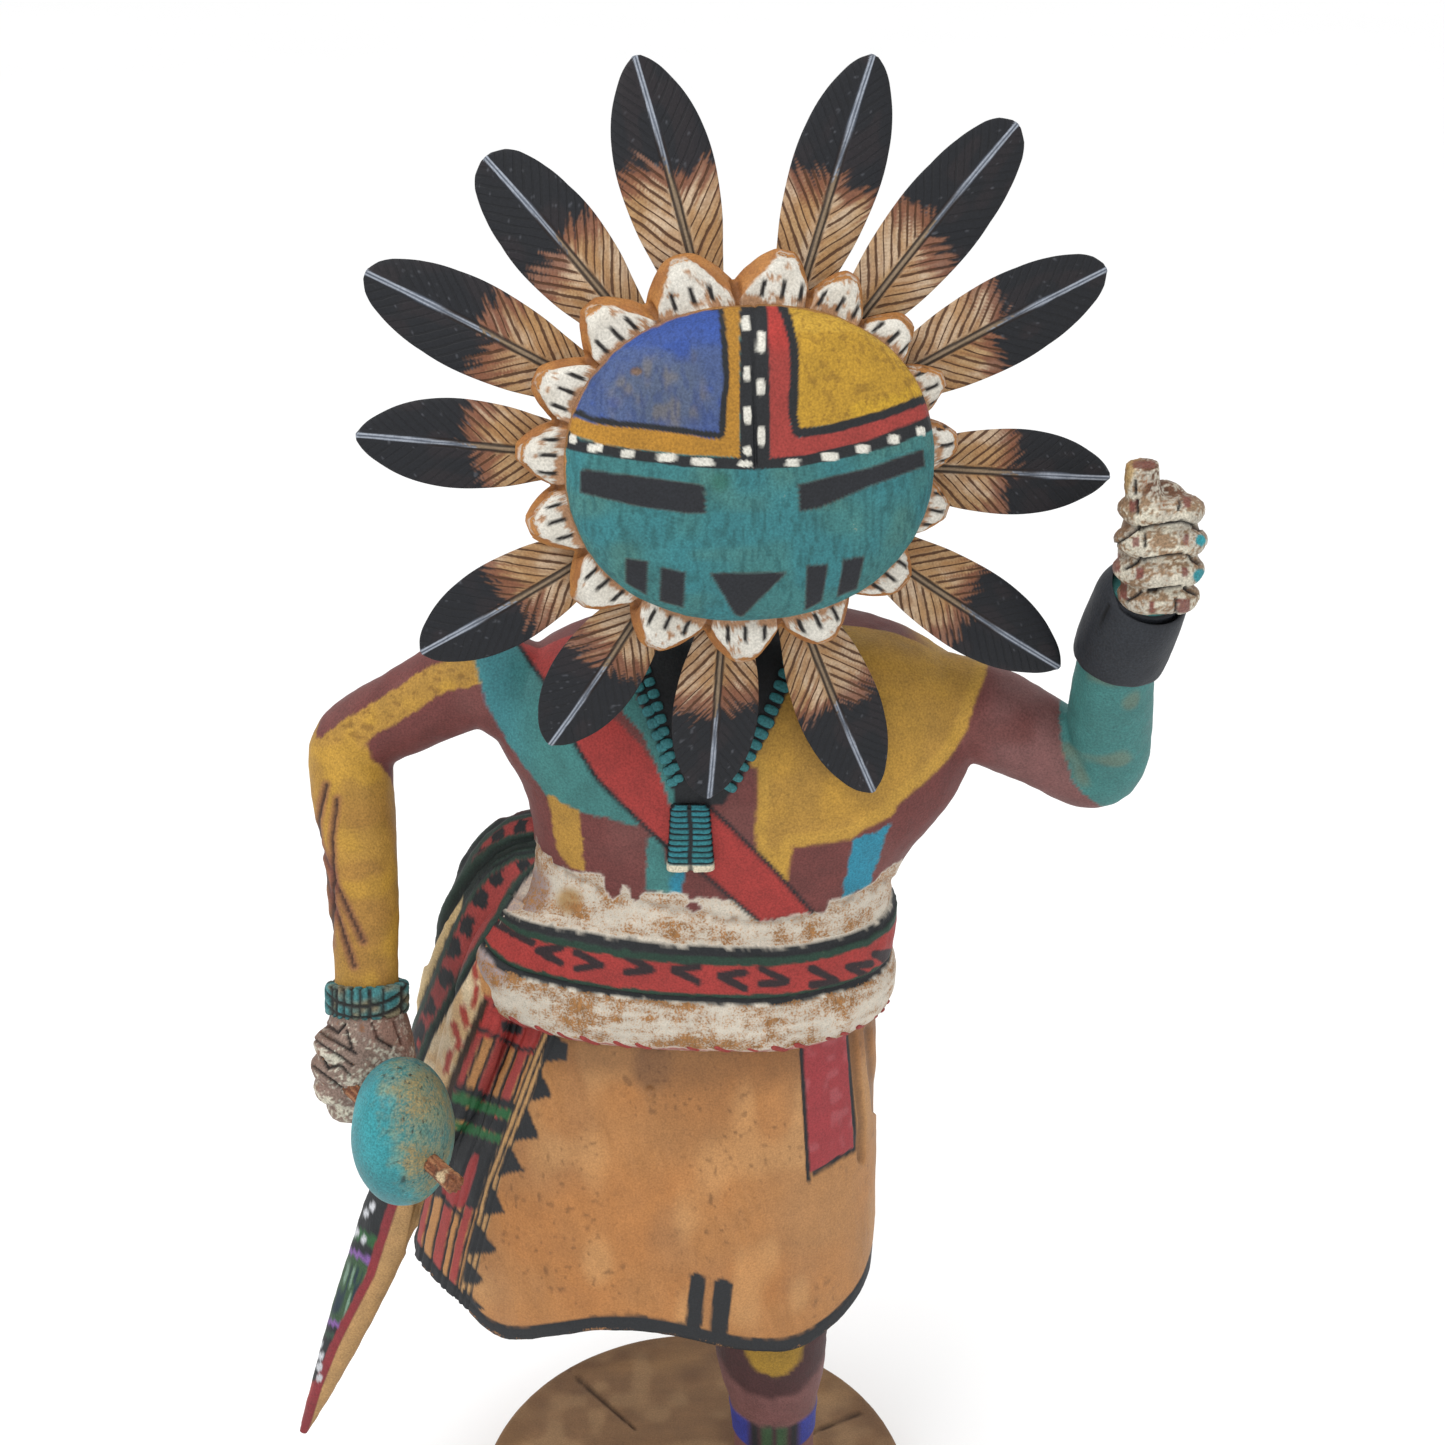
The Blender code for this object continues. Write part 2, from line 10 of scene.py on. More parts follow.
import bpy
import numpy as np
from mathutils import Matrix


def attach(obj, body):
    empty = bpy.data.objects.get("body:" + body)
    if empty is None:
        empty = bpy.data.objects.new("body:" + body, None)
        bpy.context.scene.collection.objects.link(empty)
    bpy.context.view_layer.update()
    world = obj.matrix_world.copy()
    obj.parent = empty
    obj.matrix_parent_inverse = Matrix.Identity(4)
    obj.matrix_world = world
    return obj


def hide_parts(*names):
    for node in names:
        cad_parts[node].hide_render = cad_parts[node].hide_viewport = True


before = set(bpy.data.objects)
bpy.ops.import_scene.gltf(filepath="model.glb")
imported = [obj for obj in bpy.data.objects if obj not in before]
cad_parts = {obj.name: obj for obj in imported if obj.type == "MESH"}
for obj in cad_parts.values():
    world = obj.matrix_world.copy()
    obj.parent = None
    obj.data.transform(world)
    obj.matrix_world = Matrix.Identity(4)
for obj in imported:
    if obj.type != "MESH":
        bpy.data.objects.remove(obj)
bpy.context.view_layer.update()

# Camera. The photograph looks down on the doll by 25 degrees from about half a metre, which
# was found from the ellipse of the slab's rim and the ring of feathers.
MM = 0.001
PHOTO_WIDTH = 1445
PHOTO_FOCAL = 2000.0
SENSOR = 36.0
EYE = np.array((6.5, -350.2, 379.8))
LOOK_DOWN = math.radians(25)
AHEAD = np.array((0, math.cos(LOOK_DOWN), -math.sin(LOOK_DOWN)))
OVERHEAD = np.array((0, math.sin(LOOK_DOWN), math.cos(LOOK_DOWN)))


def in_photo(places):
    """The pixel of the photograph where each place shows."""
    seen = places - EYE
    scale = PHOTO_FOCAL / (seen @ AHEAD)
    middle = PHOTO_WIDTH / 2
    return np.stack((middle + scale * seen[:, 0], middle - scale * (seen @ OVERHEAD)), axis=1)


view = bpy.data.cameras.new("photographer")
view.sensor_width = SENSOR
view.lens = PHOTO_FOCAL / PHOTO_WIDTH * SENSOR
camera = bpy.data.objects.new("photographer", view)
camera.location = EYE * MM
camera.rotation_euler = (math.pi / 2 - LOOK_DOWN, 0, 0)
bpy.context.scene.collection.objects.link(camera)
bpy.context.scene.camera = camera

# Slab. A round of cottonwood board, sawn and sanded, stained brown in blotches by handling and
# with a few drying checks from the rim. The standing foot is pegged and glued to it.
SLAB_RADIUS = 50
SLAB_TOP = 20
SLAB_EDGE = 1.6
SLAB_RING = 1.3
SLAB_WOOD = "#a98258"
SLAB_DARK = "#76543a"
# Drying checks: the turn of each, and how far from the middle it starts and ends
SLAB_CHECKS = ((0.5, 27, 46), (2.3, 22, 49), (3.6, 34, 49), (5.6, 30, 44))


def linear(code):
    """The three linear levels of an sRGB hex colour."""
    levels = np.array([int(code[i : i + 2], 16) / 255 for i in (1, 3, 5)])
    return np.where(levels <= 0.04045, levels / 12.92, ((levels + 0.055) / 1.055) ** 2.4)


def lumps(places, size, seed):
    """Smooth values from -1 to 1 that vary over a length of size, the same on every run."""
    spread = np.asarray(places, float) / size + seed * 19.7
    cell = np.floor(spread).astype(np.int64)
    share = spread - cell
    share = share * share * (3 - 2 * share)
    total = np.zeros(len(spread))
    for corner in np.ndindex(*(2,) * spread.shape[1]):
        key = (cell + corner) @ np.array((73856093, 19349663, 83492791))[: spread.shape[1]]
        key = (key ^ (key >> 13)) * 1274126177 & 0x7FFFFFFF
        key = (key ^ (key >> 15)) * 2246822519 & 0x7FFFFFFF
        total += (key / 2**30 - 1) * np.prod(np.where(corner, share, 1 - share), axis=1)
    return total


def soft(depth, blur):
    """A cover that goes from 0 to 1 as depth passes through 0, over a width of blur."""
    share = np.clip(depth / blur + 0.5, 0, 1)
    return share * share * (3 - 2 * share)


def lay(paint, cover, code):
    """Lays a colour on the paint as far as the cover says."""
    paint[:, :3] += (linear(code) - paint[:, :3]) * np.asarray(cover)[:, None]


def wear(paint, amount):
    """Rubs the paint through to the wood, up to an amount at each place."""
    paint[:, 3] = np.maximum(paint[:, 3], amount)


def bare_paint(count, code):
    """One colour and no wear at every place."""
    return np.concatenate((np.tile(linear(code), (count, 1)), np.zeros((count, 1))), axis=1)


def new_piece(name, places, faces):
    """A mesh object of these places in mm, with its faces turned outward."""
    mesh = bpy.data.meshes.new(name)
    mesh.from_pydata((places * MM).tolist(), [], faces)
    mesh.update()
    middles = np.empty(len(mesh.polygons) * 3)
    facing = np.empty(len(mesh.polygons) * 3)
    areas = np.empty(len(mesh.polygons))
    for measure, values in (("center", middles), ("normal", facing), ("area", areas)):
        mesh.polygons.foreach_get(measure, values)
    # The sum is three times the volume, which is negative where the faces point inward
    if ((middles * facing).reshape(-1, 3).sum(axis=1) * areas).sum() < 0:
        mesh.flip_normals()
    mesh.shade_smooth()
    piece = bpy.data.objects.new(name, mesh)
    bpy.context.scene.collection.objects.link(piece)
    return piece


def skin(rings):
    """Faces over rings of places, round each ring and from ring to ring, closed at both ends."""
    rows, around = rings.shape[:2]
    here = np.arange(rows * around).reshape(rows, around)
    beside = np.roll(here, -1, axis=1)
    faces = np.stack((here[:-1], beside[:-1], beside[1:], here[1:]), axis=-1).reshape(-1, 4).tolist()
    for row, middle in ((0, rows * around), (rows - 1, rows * around + 1)):
        ends = (here[row], beside[row]) if row else (beside[row], here[row])
        faces += [(int(a), int(b), middle) for a, b in zip(*ends)]
    places = np.concatenate((rings.reshape(-1, 3), rings[:1].mean(axis=1), rings[-1:].mean(axis=1)))
    return places, faces


def surface(piece):
    """The places of a piece in mm and the way out of its surface at each."""
    count = len(piece.data.vertices)
    places = np.empty(count * 3)
    out = np.empty(count * 3)
    piece.data.vertices.foreach_get("co", places)
    piece.data.vertices.foreach_get("normal", out)
    return places.reshape(-1, 3) / MM, out.reshape(-1, 3)


def colour_in(piece, paint):
    """Gives a piece its paint, with a colour and an amount of wear at each place."""
    layer = piece.data.color_attributes.new("paint", "FLOAT_COLOR", "POINT")
    layer.data.foreach_set("color", np.clip(paint, 0, 1).astype(np.float32).ravel())


def finish_piece(piece, depth, paint, finish):
    """Carves a piece's surface down by a depth in mm and gives it its paint and material."""
    places, out = surface(piece)
    piece.data.vertices.foreach_set("co", ((places - out * depth[:, None]) * MM).ravel())
    colour_in(piece, paint)
    piece.data.materials.append(finish)
    piece.data.update()


def stand_in(piece, node):
    """Shows a piece on the one rigid body in place of a CAD node."""
    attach(piece, "root")
    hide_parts(node)


def add(tree, kind, inputs=(), **settings):
    """A node with these settings, its inputs set to values or linked from sockets."""
    made = tree.nodes.new(kind if "Node" in kind else "ShaderNode" + kind)
    for name, value in settings.items():
        setattr(made, name, value)
    for name, value in dict(inputs).items():
        if isinstance(value, bpy.types.NodeSocket):
            tree.links.new(value, made.inputs[name])
        else:
            made.inputs[name].default_value = value
    return made


# Every paint and wood colour is darkened this much, a painted shade all over that tones the doll down
# against the bright table under the same lamps
SHADE_ALL_OVER = 0.68


def painted_wood(name, wood, grain_way=(0, 0, 1), mottle=0.16, fleck=0.3, matte=0.62, relief=0.12):
    """Matte pigment paint brushed thinly on cottonwood, or the bare wood where it is worn.

    The grain runs along grain_way. Mottle and fleck are how far the tone varies over 5 mm and
    over 0.4 mm, matte is the roughness, and relief is the height in mm of the paint's tooth.
    """
    made = bpy.data.materials.new(name)
    made.use_nodes = True
    tree = made.node_tree
    shader = tree.nodes["Principled BSDF"]
    paint = add(tree, "Attribute", attribute_name="paint")
    place = add(tree, "TexCoord").outputs["Object"]
    drawn_out = [1 if part else 9 for part in grain_way]
    fibre = add(tree, "Mapping", {"Vector": place, "Scale": drawn_out})
    cloud = add(tree, "TexNoise", {"Vector": place, "Scale": 1 / (5 * MM), "Detail": 3.0})
    tooth = add(tree, "TexNoise", {"Vector": place, "Scale": 1 / (0.4 * MM), "Detail": 3.0})
    grain = add(tree, "TexNoise", {"Vector": fibre.outputs[0], "Scale": 1 / (5 * MM), "Detail": 4.0})
    # Wood shows where the wear is stronger than the tooth of the paint
    patchy = add(tree, "Math", {0: tooth.outputs[0], 1: cloud.outputs[0]}, operation="ADD")
    deep = add(tree, "Math", {0: patchy.outputs[0], 1: 0.5, 2: paint.outputs["Alpha"]},
               operation="MULTIPLY_ADD")
    bare = add(tree, "MapRange", {"Value": deep.outputs[0], "From Min": 0.965, "From Max": 1.125})
    wood_tone = add(tree, "MapRange", {"Value": grain.outputs[0], "From Min": 0.3, "From Max": 0.7,
                                      "To Min": 0.62, "To Max": 1.12})
    wood_colour = add(tree, "MixRGB", {"Fac": 1.0, "Color1": (*linear(wood), 1),
                                       "Color2": wood_tone.outputs[0]}, blend_type="MULTIPLY")
    mixed = add(tree, "MixRGB", {"Fac": bare.outputs[0], "Color1": paint.outputs["Color"],
                                 "Color2": wood_colour.outputs[0]})
    broad = add(tree, "MapRange", {"Value": cloud.outputs[0], "From Min": 0.25, "From Max": 0.75,
                                  "To Min": SHADE_ALL_OVER * (1 - mottle), "To Max": SHADE_ALL_OVER * (1 + mottle)})
    fine = add(tree, "MapRange", {"Value": tooth.outputs[0], "From Min": 0.25, "From Max": 0.75,
                                 "To Min": 1 - fleck, "To Max": 1 + fleck})
    tone = add(tree, "Math", {0: broad.outputs[0], 1: fine.outputs[0]}, operation="MULTIPLY")
    toned = add(tree, "MixRGB", {"Fac": 1.0, "Color1": mixed.outputs[0], "Color2": tone.outputs[0]},
                blend_type="MULTIPLY")
    rough = add(tree, "MapRange", {"Value": cloud.outputs[0], "To Min": matte - 0.1,
                                   "To Max": matte + 0.12})
    height = add(tree, "Math", {0: tooth.outputs[0], 1: grain.outputs[0]}, operation="ADD")
    bump = add(tree, "Bump", {"Height": height.outputs[0], "Strength": 0.6, "Distance": relief * MM})
    tree.links.new(toned.outputs[0], shader.inputs["Base Color"])
    tree.links.new(rough.outputs[0], shader.inputs["Roughness"])
    shader.inputs["Specular IOR Level"].default_value = 0.25
    tree.links.new(bump.outputs[0], shader.inputs["Normal"])
    return made


def even_turns(count):
    """This many turns at an even spacing round a circle."""
    return np.linspace(0, 2 * math.pi, count, endpoint=False)


def turned_rings(profile, around):
    """Level rings for a profile of (radius, height) about the slab's middle."""
    turn = even_turns(around)
    radius, height = np.array(profile).T
    x = radius[:, None] * np.cos(turn)
    y = radius[:, None] * np.sin(turn)
    return np.stack((x, y, np.broadcast_to(height[:, None], x.shape)), axis=-1)


ease = [(SLAB_RADIUS - SLAB_EDGE * (1 - math.sin(t)), SLAB_EDGE * (1 - math.cos(t)))
        for t in np.linspace(0, math.pi / 2, 6)]
profile = [(r, 0) for r in np.linspace(4, SLAB_RADIUS - SLAB_EDGE, 12)[:-1]] + ease
profile += [(SLAB_RADIUS, z) for z in np.linspace(SLAB_EDGE, SLAB_TOP - SLAB_EDGE, 20)[1:-1]]
profile += [(r, SLAB_TOP - z) for r, z in reversed(ease)]
profile += [(r, SLAB_TOP) for r in np.linspace(SLAB_RADIUS - SLAB_EDGE, 1, 50)[1:]]
slab = new_piece("slab", *skin(turned_rings(profile, 200)))
places, out = surface(slab)
along_grain = places * (0.12, 1, 0.3)
growth = 0.5 + 0.5 * lumps(along_grain, SLAB_RING, 1)
paint = bare_paint(len(places), SLAB_WOOD)
lay(paint, 0.45 * growth, SLAB_DARK)
lay(paint, 0.6 * soft(lumps(places * (0.6, 1, 1), 12, 2) + 0.1, 1), "#8c6b50")
lay(paint, 0.55 * soft(lumps(places * (0.5, 1, 1), 7, 3) - 0.35, 0.5), "#6b4d3a")
lay(paint, 0.4 * soft(lumps(places, 5, 4) - 0.2, 0.6), "#c09c72")
round_slab = np.hypot(places[:, 0], places[:, 1])
lay(paint, 0.45 * soft(round_slab - 44, 9) * soft(places[:, 2] - 10, 8), "#6d4e36")
depth = 0.08 * growth
turn = np.arctan2(places[:, 1], places[:, 0]) % (2 * math.pi)
for way, start, end in SLAB_CHECKS:
    across = (turn - way) * round_slab + 0.5 * lumps(places[:, :2], 3, 5)
    crack = soft(0.45 - np.abs(across), 0.5) * soft(round_slab - start, 2) * soft(end - round_slab, 2)
    crack *= soft(places[:, 2] - 12, 6)
    depth += 0.7 * crack
    lay(paint, 0.85 * crack, "#3b2a1e")
slab_finish = painted_wood("bare cottonwood slice", SLAB_WOOD, mottle=0.12, fleck=0.2, matte=0.68)
finish_piece(slab, depth, paint, slab_finish)
stand_in(slab, "base")

# Body. Torso, neck and arms are carved from one cottonwood root, sanded, and painted with
# earth colours brushed on thinly. Below the paint the waist is whitewashed, and much of that
# has rubbed off the brown wood. Rows are height, centre x, half width, centre y, half depth.
TORSO = [
    (236.8, 9, 20, 2, 11), (235.2, 9, 30, 2, 13.2), (231, 9, 38.5, 1.5, 16), (225, 9, 45.2, 1, 18.6),
    (216, 9.2, 46.6, 0.5, 20), (204, 10.1, 42.2, 0, 20), (192, 6.7, 37.4, 0, 19),
    (184.8, 4.5, 36.5, 0, 18.5), (179, 2, 38, 0, 19.6), (174, 1, 37.5, 0, 19.4), (168, 1, 34, 0, 17),
]
TORSO_SQUARENESS = 2.5
NECK = ((9, 0, 222, 11, 11), (9, 0, 238, 10.9, 10.9), (9, 0, 253.6, 10.9, 10.9))
NECK_BACK = 233
# Stations along an arm: x, y, height, half width, half depth
RIGHT_ARM = [
    (-30, 0, 221.3, 10, 10.5), (-40, 1, 225.3, 9.6, 10), (-54, 2.5, 218.3, 8.4, 8.8),
    (-65.5, 4, 210.8, 7.9, 8.2), (-66.2, 1, 204.3, 8.1, 8.2), (-65, -4, 192.3, 7.5, 7.5),
    (-64, -9, 180.3, 6.8, 6.8), (-63.6, -14, 168.3, 6.2, 6.2), (-63.8, -17, 160.3, 6.6, 7),
]
LEFT_ARM = [
    (44, 0, 221.3, 10, 10.5), (56, -0.5, 218.9, 9.8, 10), (68, -1.5, 213.3, 8.8, 9),
    (77.5, -2.5, 208.3, 8.2, 8.2), (80.2, -5, 212.3, 7.9, 7.9), (79.2, -9.5, 223.3, 7.9, 7.9),
    (78.4, -14.5, 234.3, 7.2, 7.2), (79.2, -19, 245.3, 6.8, 6.8), (80.5, -22, 253.3, 6.4, 6.4),
]
BODY_GRAIN = 0.62
MAROON = "#743f3c"
TURQUOISE = "#45827f"
BRIGHT_TURQUOISE = "#2f8aa4"
OCHRE = "#b68b3e"
RED = "#a83b37"
BLACK = "#26282b"
WHITEWASH = "#e6dccb"
BODY_WOOD = "#a57647"
# Outlines painted on the front, as the photograph shows them
SHOULDER_PATCH = [
    (440, 640), (474, 652), (484, 701), (506, 740), (530, 776), (549, 799), (579, 811), (618, 822),
    (644, 829), (621, 804), (597, 780), (574, 743), (544, 682), (516, 640), (500, 600), (440, 600),
]
COLLAR_PATCH = [(568, 590), (640, 560), (650, 640), (622, 665), (590, 655)]
BANDOLIER = [
    (495, 590), (516, 640), (544, 682), (574, 743), (597, 780), (621, 804), (642, 826), (662, 843),
    (702, 873), (758, 922), (815, 914), (721, 818), (690, 792), (667, 780), (640, 745), (613, 718),
    (590, 660), (565, 590),
]
BANDOLIER_EDGES = [
    [
        (500, 600), (516, 640), (544, 682), (574, 743), (597, 780), (621, 804), (662, 843), (702, 873),
        (758, 921),
    ],
    [(690, 790), (721, 818), (770, 866), (813, 913)],
]
CHEST_PATCH = [
    (735, 600), (1000, 560), (992, 640), (988, 663), (983, 681), (973, 707), (965, 732), (950, 757),
    (925, 782), (901, 800), (891, 815), (866, 829), (850, 839), (820, 844), (792, 847), (787, 880),
    (757, 853), (755, 830), (758, 804), (758, 769), (748, 764), (735, 740),
]
RIB_YELLOW = [(548, 795), (579, 811), (585, 871), (572, 868), (556, 850)]
RIB_TURQUOISE = [
    [(647, 834), (663, 843), (667, 861), (684, 869), (681, 894), (644, 891), (647, 862)],
    [(853, 840), (890, 825), (869, 886), (842, 899)],
]
THROAT = [
    (628, 640), (690, 560), (810, 560), (802, 650), (790, 688), (772, 727), (751, 762), (730, 794),
    (722, 806), (676, 806), (670, 790), (662, 757), (648, 722), (637, 694),
]
PLAIN_STRIP = [
    (618, 690), (634, 690), (650, 722), (664, 757), (676, 806), (670, 806), (656, 765), (642, 733),
    (622, 712),
]
WASH = [
    (490, 800), (527, 828), (536, 842), (553, 864), (570, 872), (590, 873), (604, 876), (625, 888),
    (645, 892), (681, 894), (690, 899), (727, 899), (745, 907), (758, 921), (813, 913), (828, 901),
    (842, 899), (869, 886), (882, 874), (893, 866), (960, 830), (960, 1100), (400, 1100), (400, 800),
]
WASH_DRIPS = [
    [(603, 868), (621, 868), (623, 886), (619, 897), (611, 901), (604, 892)],
    [(628, 870), (643, 874), (642, 898), (636, 903), (629, 898)],
    [(683, 907), (693, 900), (704, 908), (694, 914)], [(812, 896), (829, 896), (828, 914), (814, 915)],
]
WAIST_FOLD = [
    (528, 826), (537, 845), (556, 868), (585, 885), (620, 900), (680, 912), (740, 922), (815, 918),
    (893, 880),
]
RIGHT_ARM_YELLOW = [
    (270, 726), (301, 734), (322, 737), (340, 722), (382, 697), (427, 667), (452, 657), (476, 651),
    (482, 684), (444, 691), (416, 711), (382, 730), (366, 743), (371, 758), (390, 777), (425, 900),
    (425, 1010), (270, 1010),
]
ARM_SCRATCHES = [
    [(299, 772), (306, 812), (318, 842), (336, 885), (363, 941)],
    [(326, 785), (318, 820), (320, 859), (333, 904), (354, 966)],
    [(337, 799), (332, 837), (333, 882), (332, 913), (330, 946)],
]
LEFT_FOREARM = [
    (1064, 640), (1062, 684), (1059, 719), (1062, 752), (1072, 778), (1085, 796), (1102, 807), (1125, 830),
    (1230, 800), (1230, 560), (1090, 560),
]


def smooth_rows(rows, steps):
    """The rows with smooth ones between them, so that each stretch has this many steps."""
    rows = np.array(rows, float)
    padded = np.concatenate((rows[:1], rows, rows[-1:]))
    full = []
    for before, start, end, after in zip(padded, rows, rows[1:], padded[3:]):
        for t in np.arange(steps) / steps:
            leave = (end - before) / 2 * (t**3 - 2 * t**2 + t)
            arrive = (after - start) / 2 * (t**3 - t**2)
            full.append(start * (2 * t**3 - 3 * t**2 + 1) + end * (3 * t**2 - 2 * t**3) + leave + arrive)
    return np.array([*full, rows[-1]])


def oval(turns, half_width, half_depth, squareness):
    """Points of a superellipse at these turns, round at 2 and squarer above it."""
    c = np.cos(turns)
    s = np.sin(turns)
    x = np.sign(c) * np.abs(c) ** (2 / squareness) * half_width
    y = np.sign(s) * np.abs(s) ** (2 / squareness) * half_depth
    return x, y


def level_rings(rows, around, squareness):
    """Level rings for rows of height, centre x, half width, centre y, half depth."""
    height, x, half_width, y, half_depth = np.array(rows).T[:, :, None]
    ways = even_turns(around)
    # Turned so that the points stand evenly on the flats too
    c = np.sign(np.cos(ways)) * np.abs(np.cos(ways)) ** (squareness / 2)
    s = np.sign(np.sin(ways)) * np.abs(np.sin(ways)) ** (squareness / 2)
    across, deep = oval(np.arctan2(s, c), half_width, half_depth, squareness)
    return np.stack((x + across, y + deep, np.broadcast_to(height, across.shape)), axis=-1)


def limb_rings(path, around, facing):
    """Rings across a path of stations, each with its depth as nearly as it can be to facing."""
    middles = path[:, :3]
    along = np.gradient(middles, axis=0)
    across = np.cross(along, facing)
    across /= np.linalg.norm(across, axis=1)[:, None]
    deep = np.cross(across, along)
    deep /= np.linalg.norm(deep, axis=1)[:, None]
    x, y = oval(even_turns(around), path[:, 3:4], path[:, 4:5], 2)
    return middles[:, None] + x[..., None] * across[:, None] + y[..., None] * deep[:, None]


def fused(name, shells, grain, rounds):
    """One carved piece from closed shells that overlap, with the joins between them eased."""
    places = []
    faces = []
    count = 0
    for shell_places, shell_faces in shells:
        places.append(shell_places)
        faces += [tuple(corner + count for corner in face) for face in shell_faces]
        count += len(shell_places)
    rough = new_piece(name, np.concatenate(places), faces)
    carve = rough.modifiers.new("carve", "REMESH")
    carve.mode = "VOXEL"
    carve.voxel_size = grain * MM
    sand = rough.modifiers.new("sand", "SMOOTH")
    sand.factor = 0.5
    sand.iterations = rounds
    bpy.context.view_layer.update()
    mesh = bpy.data.meshes.new_from_object(rough.evaluated_get(bpy.context.evaluated_depsgraph_get()))
    rough.modifiers.clear()
    rough.data = mesh
    mesh.materials.clear()
    mesh.shade_smooth()
    return rough


def off_line(spots, line):
    """How far each spot lies from an open line."""
    nearest = np.full(len(spots), 1e9)
    points = np.array(line, float)
    for start, end in zip(points, points[1:]):
        side = end - start
        share = np.clip((spots - start) @ side / (side @ side), 0, 1)
        nearest = np.minimum(nearest, np.hypot(*(spots - start - share[:, None] * side).T))
    return nearest


def inside(spots, outline):
    """How far each spot lies inside a closed outline, negative where it is outside."""
    corners = np.array([*outline, outline[0]], float)
    within = np.zeros(len(spots), bool)
    x, y = spots.T
    for start, end in zip(corners, corners[1:]):
        across, down = end - start
        spans = (start[1] > y) != (end[1] > y)
        within ^= spans & (x < start[0] + (y - start[1]) * across / (down if down else 1))
    nearest = off_line(spots, corners)
    return np.where(within, nearest, -nearest)


def eased(line, closed=True):
    """A line or outline with its corners cut twice, as a brush rounds them."""
    for _ in range(2):
        after = line[1:] + line[:1] if closed else line[1:]
        cut = [(near * a[0] + (1 - near) * b[0], near * a[1] + (1 - near) * b[1])
               for a, b in zip(line, after) for near in (0.75, 0.25)]
        line = cut if closed else [line[0], *cut, line[-1]]
    return line


body = fused("body", [
    skin(level_rings(smooth_rows(TORSO, 5), 160, TORSO_SQUARENESS)),
    skin(limb_rings(np.array(NECK, float), 60, (0, -1, 0))),
    skin(limb_rings(smooth_rows(RIGHT_ARM, 6), 60, (-0.4, -1, 0.05))),
    skin(limb_rings(smooth_rows(LEFT_ARM, 6), 60, (0.15, -1, 0.1))),
], BODY_GRAIN, 6)
places, out = surface(body)
# The back is painted like the front, but without the bandolier, the necklace and the drips
front = np.where(places[:, 1] < 0, 1.0, 0.0)
mirrored = np.stack((places[:, 0], -np.abs(places[:, 1]), places[:, 2]), axis=1)
seen = in_photo(mirrored)
px, py = seen.T
shake = 1.6 * lumps(places, 1.6, 11) + 1.0 * lumps(places, 0.7, 12)
trunk = soft(46 - np.abs(places[:, 0] - 8), 3)
paint = bare_paint(len(places), MAROON)
wear(paint, 0.16 + 0.1 * lumps(places, 9, 13))
lay(paint, 0.5 * soft(lumps(places, 7, 14) - 0.3, 0.8), "#7d4f4b")
lay(paint, 0.55 * soft(places[:, 0] - 57, 8) * soft(lumps(places, 6, 25) + 0.5, 1), "#8d6765")
on_arm = inside(seen, RIGHT_ARM_YELLOW)
lay(paint, soft(on_arm + shake, 2), OCHRE)
yellow_arm = soft(on_arm, 4)
lay(paint, yellow_arm * 0.55 * soft(py - 800, 60) * soft(lumps(places, 6, 15) + 0.2, 0.8), "#a2743a")
lay(paint, yellow_arm * 0.5 * soft(lumps(places, 4, 16) - 0.3, 0.6), "#d0a23a")
on_forearm = inside(seen, LEFT_FOREARM)
lay(paint, soft(on_forearm + shake, 2), TURQUOISE)
lay(paint, soft(on_forearm, 4) * 0.5 * soft(lumps(places, 5, 17) - 0.5, 0.4), "#7a7b62")
lay(paint, soft(inside(seen, eased(SHOULDER_PATCH)) + shake, 2), TURQUOISE)
lay(paint, soft(inside(seen, SHOULDER_PATCH), 4) * soft(520 - px, 60) * 0.3, BRIGHT_TURQUOISE)
on_chest = inside(seen, CHEST_PATCH)
lay(paint, soft(on_chest + shake, 2), OCHRE)
lay(paint, soft(on_chest, 6) * 0.45 * soft(lumps(places, 5, 18) - 0.2, 0.8), "#cf9f3c")
lay(paint, soft(on_chest, 6) * soft(12 - on_chest, 8) * 0.5, "#d2a545")
lay(paint, front * soft(inside(seen, COLLAR_PATCH) + shake, 2), TURQUOISE)
lay(paint, front * soft(inside(seen, BANDOLIER) + 0.5 * shake, 1.6), RED)
lay(paint, soft(inside(seen, RIB_YELLOW) + shake, 2), OCHRE)
for outline in RIB_TURQUOISE:
    rib = soft(inside(seen, outline) + shake, 2)
    lay(paint, rib, TURQUOISE)
    lay(paint, rib * soft(px - 671 + 3 * shake, 8), BRIGHT_TURQUOISE)
lay(paint, front * soft(inside(seen, THROAT) + 0.5 * shake, 2), BLACK)
lay(paint, front * soft(inside(seen, PLAIN_STRIP) + 0.4 * shake, 1.6), TURQUOISE)
# The back of the neck is plain
lay(paint, (1 - front) * soft(places[:, 2] - NECK_BACK, 4) * trunk, MAROON)
washed = soft(inside(seen, WASH) + 1.3 * shake, 2.5) * trunk
streaks = lumps(places * (0.35, 0.35, 1.6), 1.5, 19)
lay(paint, washed, WHITEWASH)
wear(paint, washed * (0.535 + 0.05 * streaks + 0.05 * lumps(places, 8, 20) + 0.04 * lumps(places, 0.8, 24)))
lay(paint, washed * front * soft(26 - np.hypot(px - 524, py - 890), 14) * 0.8, "#9d878c")
lay(paint, washed * front * soft(13 - np.hypot(px - 569, py - 901), 12) * 0.8, OCHRE)
for outline in WASH_DRIPS:
    drip = front * soft(inside(seen, eased(outline)) + 0.3 * shake, 1.6)
    lay(paint, drip, MAROON)
    paint[:, 3] *= 1 - drip
depth = np.zeros(len(places))
for line in BANDOLIER_EDGES:
    ink = front * soft(2.1 - off_line(seen, line), 2.3)
    lay(paint, ink, BLACK)
    depth += 0.25 * ink
